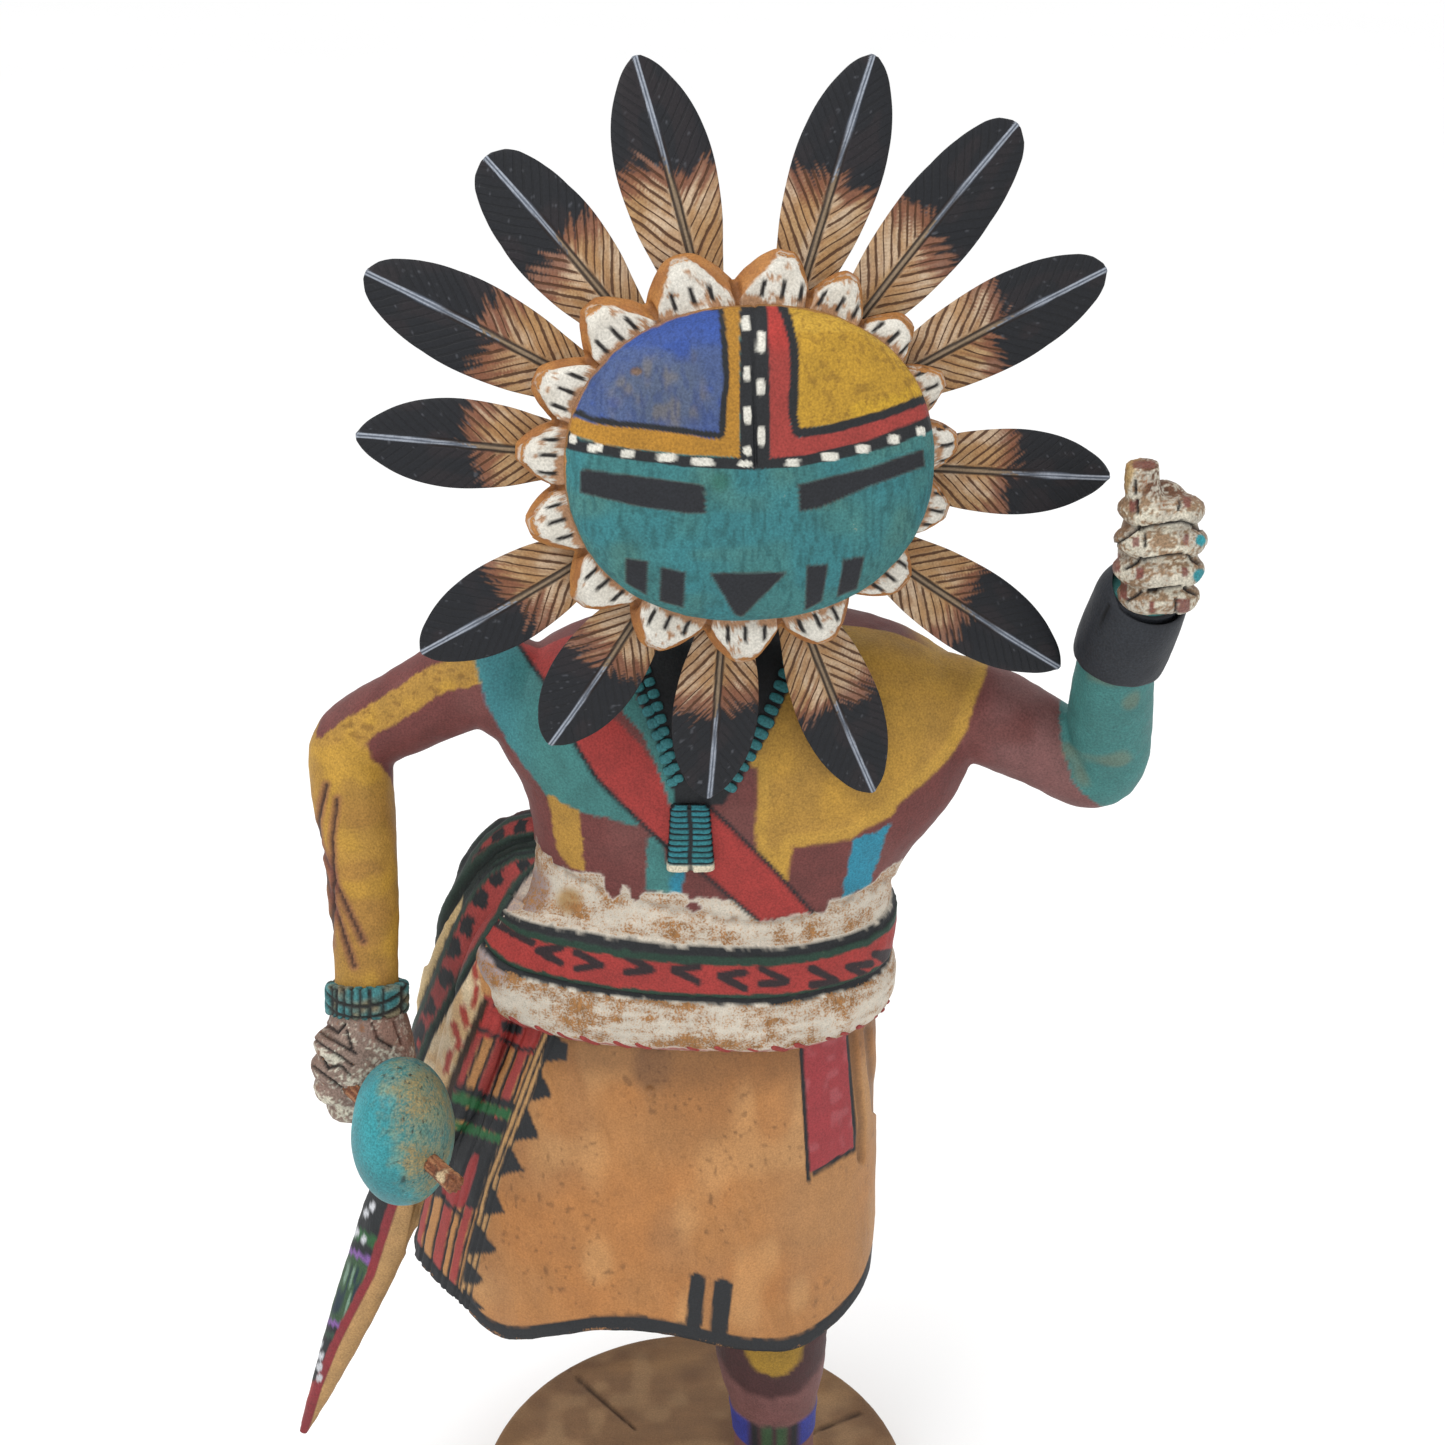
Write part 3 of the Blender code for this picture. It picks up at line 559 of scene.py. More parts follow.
for line in ARM_SCRATCHES:
    gap = off_line(seen, line)
    cut = front * soft(1.7 - gap, 1.8) * (out[:, 1] < 0.2)
    lay(paint, 0.6 * front * soft(5 - gap, 5) * soft(px - 300, 8), "#8a5448")
    lay(paint, 0.9 * cut, "#3f2a26")
    depth += 0.4 * cut
# Along the carved fold at the waist the whitewash is darkened in patches with painted shade
fold = front * soft(3.5 - off_line(seen, eased(WAIST_FOLD, closed=False)), 6) * washed
depth += 0.5 * fold
lay(paint, 0.5 * fold * soft(lumps(places, 1.2, 21), 1), "#5d4634")
# Short strokes of the knife still show in the yellow of the upper arm
x, y, z = places.T
chips = soft(lumps(np.stack((x * 0.3 - z * 0.4, z * 1.2 + x * 0.4, y), axis=1), 0.9, 22) - 0.45, 0.3)
upper_arm = soft(on_arm - 2, 3) * soft(742 - py, 14)
lay(paint, 0.5 * chips * upper_arm, "#6f4a22")
depth += 0.18 * chips * upper_arm + 0.12 * lumps(places, 2.2, 23)
body_finish = painted_wood("earth paint on carved root", BODY_WOOD, relief=0.1)
finish_piece(body, depth, paint, body_finish)
stand_in(body, "figure")

# Waist. Below the painted body the root is left as a thick padded roll with the woven belt
# carved in low relief above it. The belt is painted red between green and black edges, with
# black bird-track marks, and the roll is whitewashed and rubbed, stitched in red at its foot.
# Edge heights are given at turns in degrees from the doll's left hand, front at -90.
BELT_TOP = [
    (-180, 179), (-159, 178.9), (-120, 180.2), (-96, 178.6), (-69, 177.2), (-49, 177.4), (-26, 177.7),
    (0, 178.3), (60, 178.5), (130, 179),
]
BELT_FOOT = [
    (-180, 172.4), (-157, 173), (-143, 170.1), (-116, 168.4), (-94, 167.3), (-71, 166), (-48, 166.6),
    (-21, 166.2), (0, 167), (60, 168), (130, 171),
]
ROLL_FOOT = [
    (-180, 160.4), (-158, 160.8), (-138, 159.4), (-120, 158), (-100, 157.6), (-79, 156.8), (-68, 156),
    (-54, 156.2), (-34, 156.8), (0, 157.4), (90, 158),
]
WAIST_MIDDLE = (0.6, 0)
WAIST_HALVES = (39.9, 21.5)
# How far the surface stands out at shares of the way down, 0 to 1 the belt and 1 to 2 the roll
WAIST_SWELL = [
    (-0.22, -3.5), (-0.12, -1.6), (-0.03, -0.1), (0.06, 0.5), (0.5, 0.8), (0.93, 0.5), (1.0, 0.1),
    (1.08, 0.8), (1.3, 1.8), (1.6, 2.0), (1.85, 1.2), (1.97, -0.2), (2.05, -2.2), (2.1, -6),
]
BELT_BANDS = [(-0.06, 1.04, BLACK), (0.09, 0.92, "#284336"), (0.24, 0.82, RED)]
BELT_LINES = (0.03, 0.95)
# Bird tracks: where each shows in the photograph, how large it is and, by its sign, which way
# it points, plus to the right
BIRD_TRACKS = [
    (502, 925, -0.4), (522, 935, -0.75), (549, 953, -0.9), (589, 963, 1), (639, 967, 1), (686, 972, -1),
    (732, 978, -1), (774, 979, 1), (824, 979, 1), (860, 969, -0.9), (884, 956, -0.7),
]
TRACK_REACH = 12.5
TRACK_SPREAD = 8
TRACK_TILT = 2.5
TRACK_STROKE = 3.9
CORNER_PUSH = 5.4
CORNER_TURN = -154
CORNER_WIDTH = 24
ROLL_DROP = 2.4
ROLL_STITCHES = 44
ROLL_STITCH = (2.05, 0.66, 0.5)
STITCHES_DOWN = 1.86
STITCH_SUNK = 0.28
STITCH_RED = "#a2413c"


def round_about(turns, table, ease=6):
    """Values at these turns in degrees from a table that closes on itself, with its kinks eased."""
    knots, values = np.array(sorted(table), float).T
    shifted = [np.interp(turns + shift, knots, values, period=360) for shift in np.linspace(-ease, ease, 5)]
    return np.mean(shifted, axis=0)


def points_with(name, places, **ways):
    """A mesh of loose places in mm that also carries directions, for pieces set along them."""
    mesh = bpy.data.meshes.new(name)
    mesh.from_pydata((places * MM).tolist(), [], [])
    for key, values in ways.items():
        mesh.attributes.new(key, "FLOAT_VECTOR", "POINT").data.foreach_set("vector", np.ravel(values))
    piece = bpy.data.objects.new(name, mesh)
    bpy.context.scene.collection.objects.link(piece)
    return piece


def set_along(piece, bead, finish, uneven, seed):
    """Sets a bead at every point of a piece, its x along the way and its z out of the surface."""
    tree = bpy.data.node_groups.new(piece.name + " layout", "GeometryNodeTree")
    kinds = {"Places": "Geometry", "Bead": "Object", "Unevenness": "Float", "Finish": "Material"}
    for name, kind in kinds.items():
        tree.interface.new_socket(name, in_out="INPUT", socket_type="NodeSocket" + kind)
    tree.interface.new_socket("Strung", in_out="OUTPUT", socket_type="NodeSocketGeometry")

    given = add(tree, "NodeGroupInput")
    out = add(tree, "GeometryNodeInputNamedAttribute", {"Name": "out"}, data_type="FLOAT_VECTOR")
    along = add(tree, "GeometryNodeInputNamedAttribute", {"Name": "along"}, data_type="FLOAT_VECTOR")
    turning = "FunctionNodeAlignRotationToVector"
    stood = add(tree, turning, {"Vector": out.outputs[0]}, axis="Z")
    turned = add(tree, turning, {"Rotation": stood.outputs[0], "Vector": along.outputs[0]},
                 axis="X", pivot_axis="Z")
    bead_shape = add(tree, "GeometryNodeObjectInfo", {"Object": given.outputs["Bead"]})
    less = add(tree, "Math", {0: 1.0, 1: given.outputs["Unevenness"]}, operation="SUBTRACT")
    more = add(tree, "Math", {0: 1.0, 1: given.outputs["Unevenness"]}, operation="ADD")
    size = add(tree, "FunctionNodeRandomValue", {2: less.outputs[0], 3: more.outputs[0], "Seed": seed},
               data_type="FLOAT")
    strung = add(tree, "GeometryNodeInstanceOnPoints", {
        "Points": given.outputs["Places"], "Instance": bead_shape.outputs["Geometry"],
        "Rotation": turned.outputs[0], "Scale": size.outputs[1],
    })
    real = add(tree, "GeometryNodeRealizeInstances", {0: strung.outputs[0]})
    finished = add(tree, "GeometryNodeSetMaterial",
                   {0: real.outputs[0], "Material": given.outputs["Finish"]})
    last = add(tree, "NodeGroupOutput")
    tree.links.new(finished.outputs[0], last.inputs[0])
    layout = piece.modifiers.new("layout", "NODES")
    layout.node_group = tree
    sockets = {item.name: item.identifier for item in tree.interface.items_tree}
    layout[sockets["Bead"]] = bead
    layout[sockets["Unevenness"]] = uneven
    layout[sockets["Finish"]] = finish
    bpy.context.view_layer.update()
    mesh = bpy.data.meshes.new_from_object(piece.evaluated_get(bpy.context.evaluated_depsgraph_get()))
    piece.modifiers.clear()
    piece.data = mesh
    bpy.data.objects.remove(bead)


def pillow(name, halves, around=10):
    """A small rounded bead of these half sizes in mm, long along x."""
    rings = []
    for share in np.sin(np.linspace(-1, 1, 9) * math.pi / 2):
        swell = math.sqrt(max(1 - abs(share) ** 4, 0.02))
        y, z = oval(even_turns(around), halves[1] * swell, halves[2] * swell, 3)
        rings.append(np.stack((np.full(around, share * halves[0]), y, z), axis=1))
    return new_piece(name, *skin(np.array(rings)))


turns = np.linspace(-180, 180, 460, endpoint=False)
belt_top, belt_foot, roll_foot = (round_about(turns, table) for table in (BELT_TOP, BELT_FOOT, ROLL_FOOT))
roll_foot = roll_foot - ROLL_DROP
shares, swells = np.array(WAIST_SWELL).T
down = np.concatenate((np.linspace(-0.22, 0, 6)[:-1], np.linspace(0, 1, 32)[:-1], np.linspace(1, 2.1, 30)))
swell = np.interp(down, shares, swells)
swell = np.convolve(np.pad(swell, 1, mode="edge"), (0.25, 0.5, 0.25), "valid")[:, None]
height = np.where(down[:, None] < 1, belt_top + (belt_foot - belt_top) * down[:, None],
                  belt_foot + (roll_foot - belt_foot) * (down[:, None] - 1))
x, y = oval(np.radians(turns), WAIST_HALVES[0] + swell, WAIST_HALVES[1] + swell, 2.35)
lean = (belt_foot.mean() - height) * 0.07
# At the right hip the roll stands out over the sash
corner_down = (1 - 0.4 * soft(down - 1.25, 0.5)) * soft(down - 0.75, 1.3) * (down < 2.04)
corner = CORNER_PUSH * corner_down[:, None] * np.exp(-(((turns - CORNER_TURN) / CORNER_WIDTH) ** 2))
x = x - 0.93 * corner
y = y - 0.37 * corner
rings = np.stack((WAIST_MIDDLE[0] + x - lean, WAIST_MIDDLE[1] + y, height), axis=-1)
waist = new_piece("waist", *skin(rings))
places, out = surface(waist)
belt_share = np.append(np.repeat(down, len(turns)), (down[0], down[-1]))
front = np.where(places[:, 1] < 0, 1.0, 0.0)
seen = in_photo(np.stack((places[:, 0], -np.abs(places[:, 1]), places[:, 2]), axis=1))
px, py = seen.T
shake = 0.03 * lumps(places, 1.8, 31) + 0.015 * lumps(places, 0.7, 32)
paint = bare_paint(len(places), WHITEWASH)
streaks = lumps(places * (0.3, 0.3, 1.5), 1.3, 33)
wear(paint, 0.525 + 0.065 * streaks + 0.055 * lumps(places, 7, 34) + 0.04 * lumps(places, 0.8, 38)
     + 0.04 * soft(belt_share - 1.75, 0.2) + 0.04 * soft(0.15 - np.abs(belt_share - 1.1), 0.2))
lay(paint, front * soft(30 - np.hypot(px - 492, py - 955), 22) * 0.75, "#a08c94")
on_belt = soft(belt_share + 0.07 + shake, 0.05) * soft(1.02 - belt_share - shake, 0.05)
paint[:, 3] = paint[:, 3] * (1 - on_belt) + on_belt * (0.2 + 0.12 * lumps(places, 3, 36))
for start, end, colour in BELT_BANDS:
    lay(paint, soft(belt_share - start + shake, 0.04) * soft(end + shake - belt_share, 0.04), colour)
depth = 0.1 * lumps(places, 1.5, 37)
for line in BELT_LINES:
    depth += 0.45 * soft(0.05 - np.abs(belt_share + shake - line), 0.06)
foot_red = soft(0.05 - np.abs(belt_share - 1.93 + 2 * shake), 0.05)
foot_red = foot_red * soft(lumps(places, 2.4, 39) + 0.45, 0.4)
lay(paint, 0.85 * foot_red, STITCH_RED)
paint[:, 3] *= 1 - 0.7 * foot_red
px_shake = 30 * shake
for x, y, way in BIRD_TRACKS:
    spread = TRACK_SPREAD * abs(way)
    tip = (x + way * TRACK_REACH, y + way * TRACK_TILT)
    toes = [(x - way * TRACK_REACH, y - way * TRACK_TILT + step) for step in (-spread, spread)]
    track = np.min([off_line(seen, [tip, toe]) for toe in toes], axis=0)
    on_red = soft(belt_share - 0.22, 0.05) * soft(0.84 - belt_share, 0.05)
    lay(paint, soft(TRACK_STROKE + px_shake - track, 2) * on_red, "#33272a")
belt_finish = painted_wood("whitewash and belt paint", BODY_WOOD, relief=0.14)
finish_piece(waist, depth, paint, belt_finish)
stand_in(waist, "figure")

# The stitches are short slanted cuts filled with red
stitch_turns = np.linspace(-180, 180, ROLL_STITCHES, endpoint=False)
stitch_turns += 3 * lumps(np.arange(ROLL_STITCHES)[:, None], 1, 41)
column = ((stitch_turns + 180) / 360 * len(turns)).astype(int) % len(turns)
spots = int(np.argmin(np.abs(down - STITCHES_DOWN))) * len(turns) + column
slant = np.array((0, 0, -0.75)) - np.cross(out[spots], (0, 0, 1)) - 0.1 * out[spots]
red_stitch = painted_wood("red stitch paint", BODY_WOOD)
stitch = pillow("stitch", ROLL_STITCH)
colour_in(stitch, bare_paint(len(stitch.data.vertices), STITCH_RED))
sunk = places[spots] - STITCH_SUNK * out[spots]
stitches = points_with("roll_stitches", sunk, along=slant, out=out[spots])
set_along(stitches, stitch, red_stitch, 0.25, 5)
stand_in(stitches, "figure")

# Kilt. The lower root is carved as a stiff flared kilt, left as bare cottonwood and hollowed a
# little from below, with a black hem, a painted side panel, a red ribbon and worn stains.
KILT_TOP_LAP = 3
KILT_ROWS = [
    (60, -11, 50.4, 0, 26.4), (90.3, -11, 50.4, 0, 26.4), (100.3, -9.6, 49.4, 0, 26),
    (118.3, -6.6, 46, 0, 24.4), (150, -1.6, 39.8, 0, 21.2), (156.3, -0.8, 39.4, 0, 21),
    (165, -0.4, 39, 0, 20.6),
]
HEM = [
    (-180, 94), (-157, 93), (-139, 88.6), (-127, 82.2), (-118, 83.6), (-107, 87.6), (-96, 90.6),
    (-86, 89.2), (-72, 83.4), (-64, 80.4), (-51, 78), (-37, 82), (-15, 90), (0, 92.5), (20, 88), (45, 81),
    (75, 86), (105, 89), (135, 82), (160, 88),
]
HEM_BAND = 3.6
HEM_THICKNESS = 3.2
HOLLOW = 10
KILT_WOOD = "#bd8550"
KILT_BLACK = "#2a2c2f"
# The side panel's borders and what is painted across and down it, as the photograph shows it
PANEL_LEFT = [(484, 1003), (452, 1080), (428, 1160), (412, 1239), (404, 1300)]
PANEL_RIGHT = [(543, 1032), (526, 1075), (508, 1124), (486, 1180), (468, 1250), (456, 1305), (450, 1335)]
PANEL_LENGTH = 300
BORDER_STRIPES = [(-1.5, 1.2, KILT_BLACK), (5.0, 7.4, KILT_BLACK), (11.2, 13.4, KILT_BLACK)]
PANEL_REDS = [(0.0, 0.17), (0.4, 0.58), (0.76, 0.9)]
PANEL_LINES = (0.2, 0.38, 0.6, 0.73, 0.93)
PANEL_BANDS = [
    (0.0, 0.1, RED), (0.262, 0.29, KILT_BLACK), (0.29, 0.325, "#2f6b3f"), (0.325, 0.374, KILT_BLACK),
    (0.374, 0.405, "#2f6b3f"), (0.405, 0.63, KILT_BLACK),
]
PANEL_BLOCK = [(501, 1020), (524, 1026), (520, 1035), (502, 1031)]
PANEL_TOP_LINE = [(476, 1029), (500, 1038), (522, 1049), (535, 1050)]
PANEL_HOOK = [
    (446, 1178), (440, 1190), (452, 1205), (463, 1212), (480, 1160), (476, 1152), (470, 1158), (462, 1180),
    (455, 1186),
]
HOOK_LINE = [(436, 1188), (446, 1203), (462, 1216)]
ROPE_EDGE = [
    (471, 967), (467, 976), (447, 1000), (429, 1040), (421, 1062), (428, 1090), (444, 1096), (453, 1074),
    (465, 1046), (478, 1013), (484, 1000), (479, 979), (484, 940), (476, 951),
]
ROPE_FLAMES = [
    [(482, 940), (474, 965), (476, 978)], [(462, 1008), (467, 1025)],
    [(454, 1024), (460, 1044), (456, 1048)], [(450, 1052), (446, 1070)], [(477, 988), (474, 1004)],
]
STEPPED_BORDER = [
    [(548, 1032), (568, 1043), (567, 1062), (554, 1061), (541, 1062)],
    [(539, 1067), (552, 1097), (531, 1101)], [(526, 1104), (539, 1138), (512, 1141)],
    [(509, 1144), (524, 1171), (497, 1176)], [(490, 1181), (505, 1212), (481, 1216)],
    [(474, 1219), (497, 1249), (491, 1254), (468, 1254)],
    [(466, 1258), (484, 1279), (478, 1284), (463, 1283)],
    [(463, 1288), (485, 1309), (472, 1311), (457, 1308)],
]
RIBBON = [(799, 1030), (848, 1024), (855, 1149), (810, 1174)]
RIBBON_EDGES = [[(801, 1040), (809, 1181)], [(848, 1030), (857, 1149), (814, 1174)]]
HEM_BARS = [
    [(690, 1275), (696, 1272), (706, 1277), (701, 1332), (685, 1330)],
    [(714, 1282), (722, 1278), (733, 1284), (726, 1345), (709, 1342)],
]
SIDE_FOLDS = [[(853, 1035), (862, 1120), (861, 1160)], [(868, 1030), (876, 1110)]]
KNOT = (650, 1092)


def line_at(seen, line):
    """How far across the photograph a line runs at the height of each pixel."""
    return np.interp(seen[:, 1], *np.array(line, float).T[::-1])


def paint_panel(paint, places, seen, shake, front):
    """Paints the side panel and its rope edge on any surface they cross, and says how deep they cut."""
    px, py = seen.T
    cut = np.zeros(len(places))
    left_x = line_at(seen, PANEL_LEFT)
    right_x = line_at(seen, PANEL_RIGHT)
    across = (px - left_x) / (right_x - left_x)
    downward = (py - (px - left_x) * 0.3 - PANEL_LEFT[0][1]) / PANEL_LENGTH
    panel = front * soft(across, 0.02) * soft(1 - across, 0.02) * soft(py - 995, 4)
    lay(paint, panel * 0.9, "#c08a55")
    for start, end in PANEL_REDS:
        red = soft(across - start + 0.01 * shake, 0.03) * soft(end - across + 0.01 * shake, 0.03)
        lay(paint, panel * red, "#a64541")
    for line in PANEL_LINES:
        ink = panel * soft(0.022 - np.abs(across - line + 0.008 * shake), 0.02)
        lay(paint, ink, KILT_BLACK)
        cut += 0.3 * ink
    for start, end, colour in PANEL_BANDS:
        band = soft(downward - start + 0.006 * shake, 0.008) * soft(end - downward + 0.006 * shake, 0.008)
        lay(paint, panel * band, colour)
    lay(paint, front * soft(inside(seen, PANEL_BLOCK) + shake, 2), KILT_BLACK)
    lay(paint, front * soft(2 - off_line(seen, PANEL_TOP_LINE) + 0.5 * shake, 2), KILT_BLACK)
    lay(paint, front * soft(inside(seen, eased(PANEL_HOOK)) + 0.5 * shake, 2), "#a73f3f")
    lay(paint, front * soft(2 - off_line(seen, HOOK_LINE) + 0.5 * shake, 2), KILT_BLACK)
    border = px - right_x
    trim = front * soft(border + 1, 1.5) * soft(14 - border, 1.5)
    trim = trim * soft(py - 1000, 4) * soft(3 - places[:, 1], 1)
    lay(paint, trim, "#c39763")
    for start, end, colour in BORDER_STRIPES:
        ink = trim * soft(border - start + 0.4 * shake, 1.4) * soft(end - border + 0.4 * shake, 1.4)
        lay(paint, ink, colour)
        cut += 0.25 * ink
    rope = front * soft(inside(seen, ROPE_EDGE) + shake, 3)
    lay(paint, rope, "#e0cba8")
    lay(paint, rope * 0.6 * soft(lumps(places, 2.4, 61), 0.8), "#c99a5c")
    for line in ROPE_FLAMES:
        lay(paint, front * soft(3.2 - off_line(seen, line) + shake, 2.5), "#a8463c")
    gutter = front * soft(4.0 - off_line(seen, PANEL_LEFT) + 0.6 * shake, 2)
    lay(paint, gutter, "#3f3128")
    return cut + 0.6 * gutter


turns = np.concatenate((np.linspace(-180, 0, 330, endpoint=False),
                        np.linspace(0, 180, 110, endpoint=False)))
top = round_about(turns, ROLL_FOOT) - ROLL_DROP + KILT_TOP_LAP
hem = round_about(turns, HEM, 5)
down = np.linspace(0, 1, 112)[:, None]
height = top + (hem - top) * down
rows = np.array(KILT_ROWS, float)
x, half_width, y, half_depth = (np.interp(height, rows[:, 0], rows[:, column]) for column in (1, 2, 3, 4))
flare = 0.9 * np.cos(5 * np.radians(turns + 98)) * down**3
across, deep = oval(np.radians(turns), half_width + flare, half_depth + flare, 2.15)
outside = np.stack((x + across, y + deep, height), axis=-1)
lip = []
for inset, lift in (
    (0.7, -0.25), (1.6, -0.3), (HEM_THICKNESS, 0.4), (HEM_THICKNESS + 0.5, 3),
    (HEM_THICKNESS + 2, HOLLOW * 0.7), (HEM_THICKNESS + 9, HOLLOW), (HEM_THICKNESS + 20, HOLLOW + 1),
):
    shrink = 1 - inset / np.array((half_width[-1], half_depth[-1]))
    ring = outside[-1] - (x[-1, 0], 0, 0)
    ring = ring * np.stack((shrink[0], shrink[1], np.ones(len(turns))), axis=1) + (x[-1, 0], 0, lift)
    lip.append(ring)
kilt = new_piece("kilt", *skin(np.concatenate((outside, np.array(lip)))))
places, out = surface(kilt)
# Each place's height over the hem, whether it is on the lip or inside, and how far in it is. The
# last two places close the top and the hollow.
wall = np.zeros(len(outside) * len(turns))
around_lip = np.zeros(len(lip) * len(turns))
inner = np.concatenate((wall, around_lip + 1, (0, 1)))
drop = np.concatenate(((height - hem).ravel(), around_lip, (60, 0)))
rim = np.concatenate((wall, np.repeat(np.arange(len(lip)), len(turns)), (0, len(lip))))
front = np.where((places[:, 1] < 3) & (inner == 0), 1.0, 0.0)
seen = in_photo(places)
px, py = seen.T
shake = 0.8 * lumps(places, 1.5, 51) + 0.5 * lumps(places, 0.7, 52)
paint = bare_paint(len(places), KILT_WOOD)
x, y, z = places.T
fibre = np.stack((x + z * 0.25, y, z * 0.15 - x * 0.04), axis=1)
lay(paint, 0.5 * soft(lumps(fibre, 1.1, 53), 1.6), "#b17a45")
lay(paint, 0.55 * soft(lumps(places, 12, 54) - 0.05, 1), "#c07f45")
lay(paint, 0.5 * soft(lumps(places * (1, 1, 0.6), 9, 55) - 0.25, 0.7), "#a97a50")
lay(paint, 0.5 * soft(lumps(places * (1, 1, 0.5), 6, 56) - 0.3, 0.6), "#d7a56d")
# Just under the roll the kilt is darkened, a painted shadow of the roll
roll_above = np.append(np.tile(top, len(outside) + len(lip)), (0, 0)) - KILT_TOP_LAP
shadow_below_roll = soft(8 - (roll_above - places[:, 2]), 9)
lay(paint, 0.6 * shadow_below_roll * (inner == 0), "#7c5433")
flecks = 0.5 * soft(lumps(places, 1.0, 57) - 0.62, 0.25) * soft(lumps(places, 14, 58) + 0.1, 0.6)
for stain, colour in (
    (0.6 * soft(16 - np.hypot((px - 652) / 1.2, (py - 1066) / 1.6), 14), "#6b4a36"),
    (0.4 * soft(36 - np.hypot((px - 690) / 1.3, (py - 1095) / 1.8), 30), "#8d6540"),
    (flecks, "#5f4029"),
    (0.35 * soft(60 - np.hypot((px - 850) / 1.2, (py - 1180) / 2), 50), "#b98f63"),
):
    lay(paint, front * stain, colour)
depth = 0.06 * lumps(fibre, 0.8, 59) + 0.15 * lumps(places, 5, 60)
depth += paint_panel(paint, places, seen, shake, front)
for outline in STEPPED_BORDER:
    ink = front * soft(inside(seen, outline) + shake, 2)
    lay(paint, ink, KILT_BLACK)
    depth -= 0.08 * ink
lay(paint, front * soft(inside(seen, RIBBON) + 0.6 * shake, 2), "#a33c41")
lay(paint, front * soft(inside(seen, RIBBON), 2) * 0.45 * soft(lumps(places, 2, 62) - 0.3, 0.5), "#b9656a")
for line in RIBBON_EDGES:
    ink = front * soft(2 - off_line(seen, line) + 0.4 * shake, 1.6)
    lay(paint, ink, KILT_BLACK)
    depth += 0.4 * ink
for outline in HEM_BARS:
    lay(paint, front * soft(inside(seen, outline) + 0.8 * shake, 2), KILT_BLACK)
# The side folds are cut in and darkened along their lines with painted shade
for line in SIDE_FOLDS:
    groove = front * soft(3 - off_line(seen, line), 4)
    lay(paint, 0.6 * groove, "#6e4c30")
    depth += 0.8 * groove
# A knot in the wood has left a small dent with a bump below it
from_knot = seen - KNOT
depth += front * 0.9 * soft(3.4 - np.hypot(from_knot[:, 0], from_knot[:, 1] + 2), 4)
depth -= front * 1.2 * soft(3.4 - np.hypot(from_knot[:, 0], from_knot[:, 1] - 4), 6)
hem_band = (inner == 0) * soft(HEM_BAND + 0.25 * shake - drop, 0.5) + (inner == 1) * (rim < 3)
lay(paint, np.clip(hem_band, 0, 1), KILT_BLACK)
# Inside the hollow the wood is darkened with painted shade
lay(paint, (inner == 1) * (rim >= 3) * 0.8, "#8a6038")
depth += 0.15 * soft(0.5 - np.abs(drop - HEM_BAND), 0.6) * (inner == 0)
wear(paint, 0.14 + 0.14 * lumps(places, 3, 63) + 0.25 * np.clip(hem_band, 0, 1) * soft(1.0 - drop, 1))
depth[inner == 1] *= 0.2
kilt_finish = painted_wood("bare cottonwood kilt", KILT_WOOD, mottle=0.1, fleck=0.22,
                           matte=0.55, relief=0.08)
finish_piece(kilt, depth, paint, kilt_finish)
stand_in(kilt, "figure")

# Legs. The standing leg is part of the same root, painted maroon with a yellow knee, a garter
# and a soft red moccasin. The other leg kicks back under the kilt. The photograph stops at the
# garter, so what is below it, and the leg behind the kilt, are finished to match.
STANDING_LEG = [
    (17, -3, 104.3, 13, 13), (17.2, -4, 80.3, 12.8, 12.4), (17.2, -5, 68.3, 12.4, 11.8),
    (17.6, -5, 60.3, 11.6, 11), (18, -5, 50.3, 9.6, 9.4), (18.2, -5, 38.3, 9, 9),
    (18.2, -4, 28.3, 9.2, 9.6),
]
KICKED_LEG = [
    (-22, 2, 104.3, 12, 12), (-23.4, 0.5, 84.3, 11.4, 11.4), (-24, 3.5, 76.8, 10.6, 10.6),
    (-24.6, 12, 72.8, 9.8, 9.6), (-25.4, 26, 66.3, 8.6, 8.4), (-26, 36, 61.3, 8, 8),
]
MOCCASIN = (9.35, 20.35, 12.9)
MOCCASIN_ANKLE = (0.42, 0.8)
SHOES = [((18.4, -2.5, 30.7), 0), ((-26.2, 38, 60.3), math.radians(108))]
KNEE_YELLOW = [(738, 1330), (746, 1356), (754, 1369), (773, 1377), (789, 1374), (800, 1360), (808, 1330)]
KNEE_SHADE = [(690, 1300), (728, 1375), (745, 1392), (772, 1400), (800, 1392), (818, 1370), (850, 1300)]
GARTER = (43.5, 51)
SOLE_THICKNESS = 2.4
CUFF_HEIGHT = 9.3
CUFF_REACH = 11.4
CALF_COLOUR = "#7b5350"
MOCCASIN_RED = "#8b4138"
MOCCASIN_CUFF = "#3d8d95"


def moccasin_rings(ankle, toe_drop):
    """Rings from toe to heel of a soft shoe, flat below, hung on its ankle and turned down."""
    half_width, half_length, tall = MOCCASIN
    rings = []
    for share in np.sin(np.linspace(-1, 1, 50) * math.pi / 2):
        swell = math.sqrt(max(1 - abs(share) ** 3, 0.05))
        top = tall * (0.62 + 0.19 * (share + 1)) * swell
        x, z = oval(even_turns(56), half_width * swell, top / 2, 2.6)
        y = share * half_length - MOCCASIN_ANKLE[0] * half_length
        z = z + top / 2 - MOCCASIN_ANKLE[1] * tall
        turned_y = y * math.cos(toe_drop) - z * math.sin(toe_drop)
        turned_z = y * math.sin(toe_drop) + z * math.cos(toe_drop)
        rings.append(np.stack((x, turned_y, turned_z), axis=1) + ankle)
    return np.array(rings)


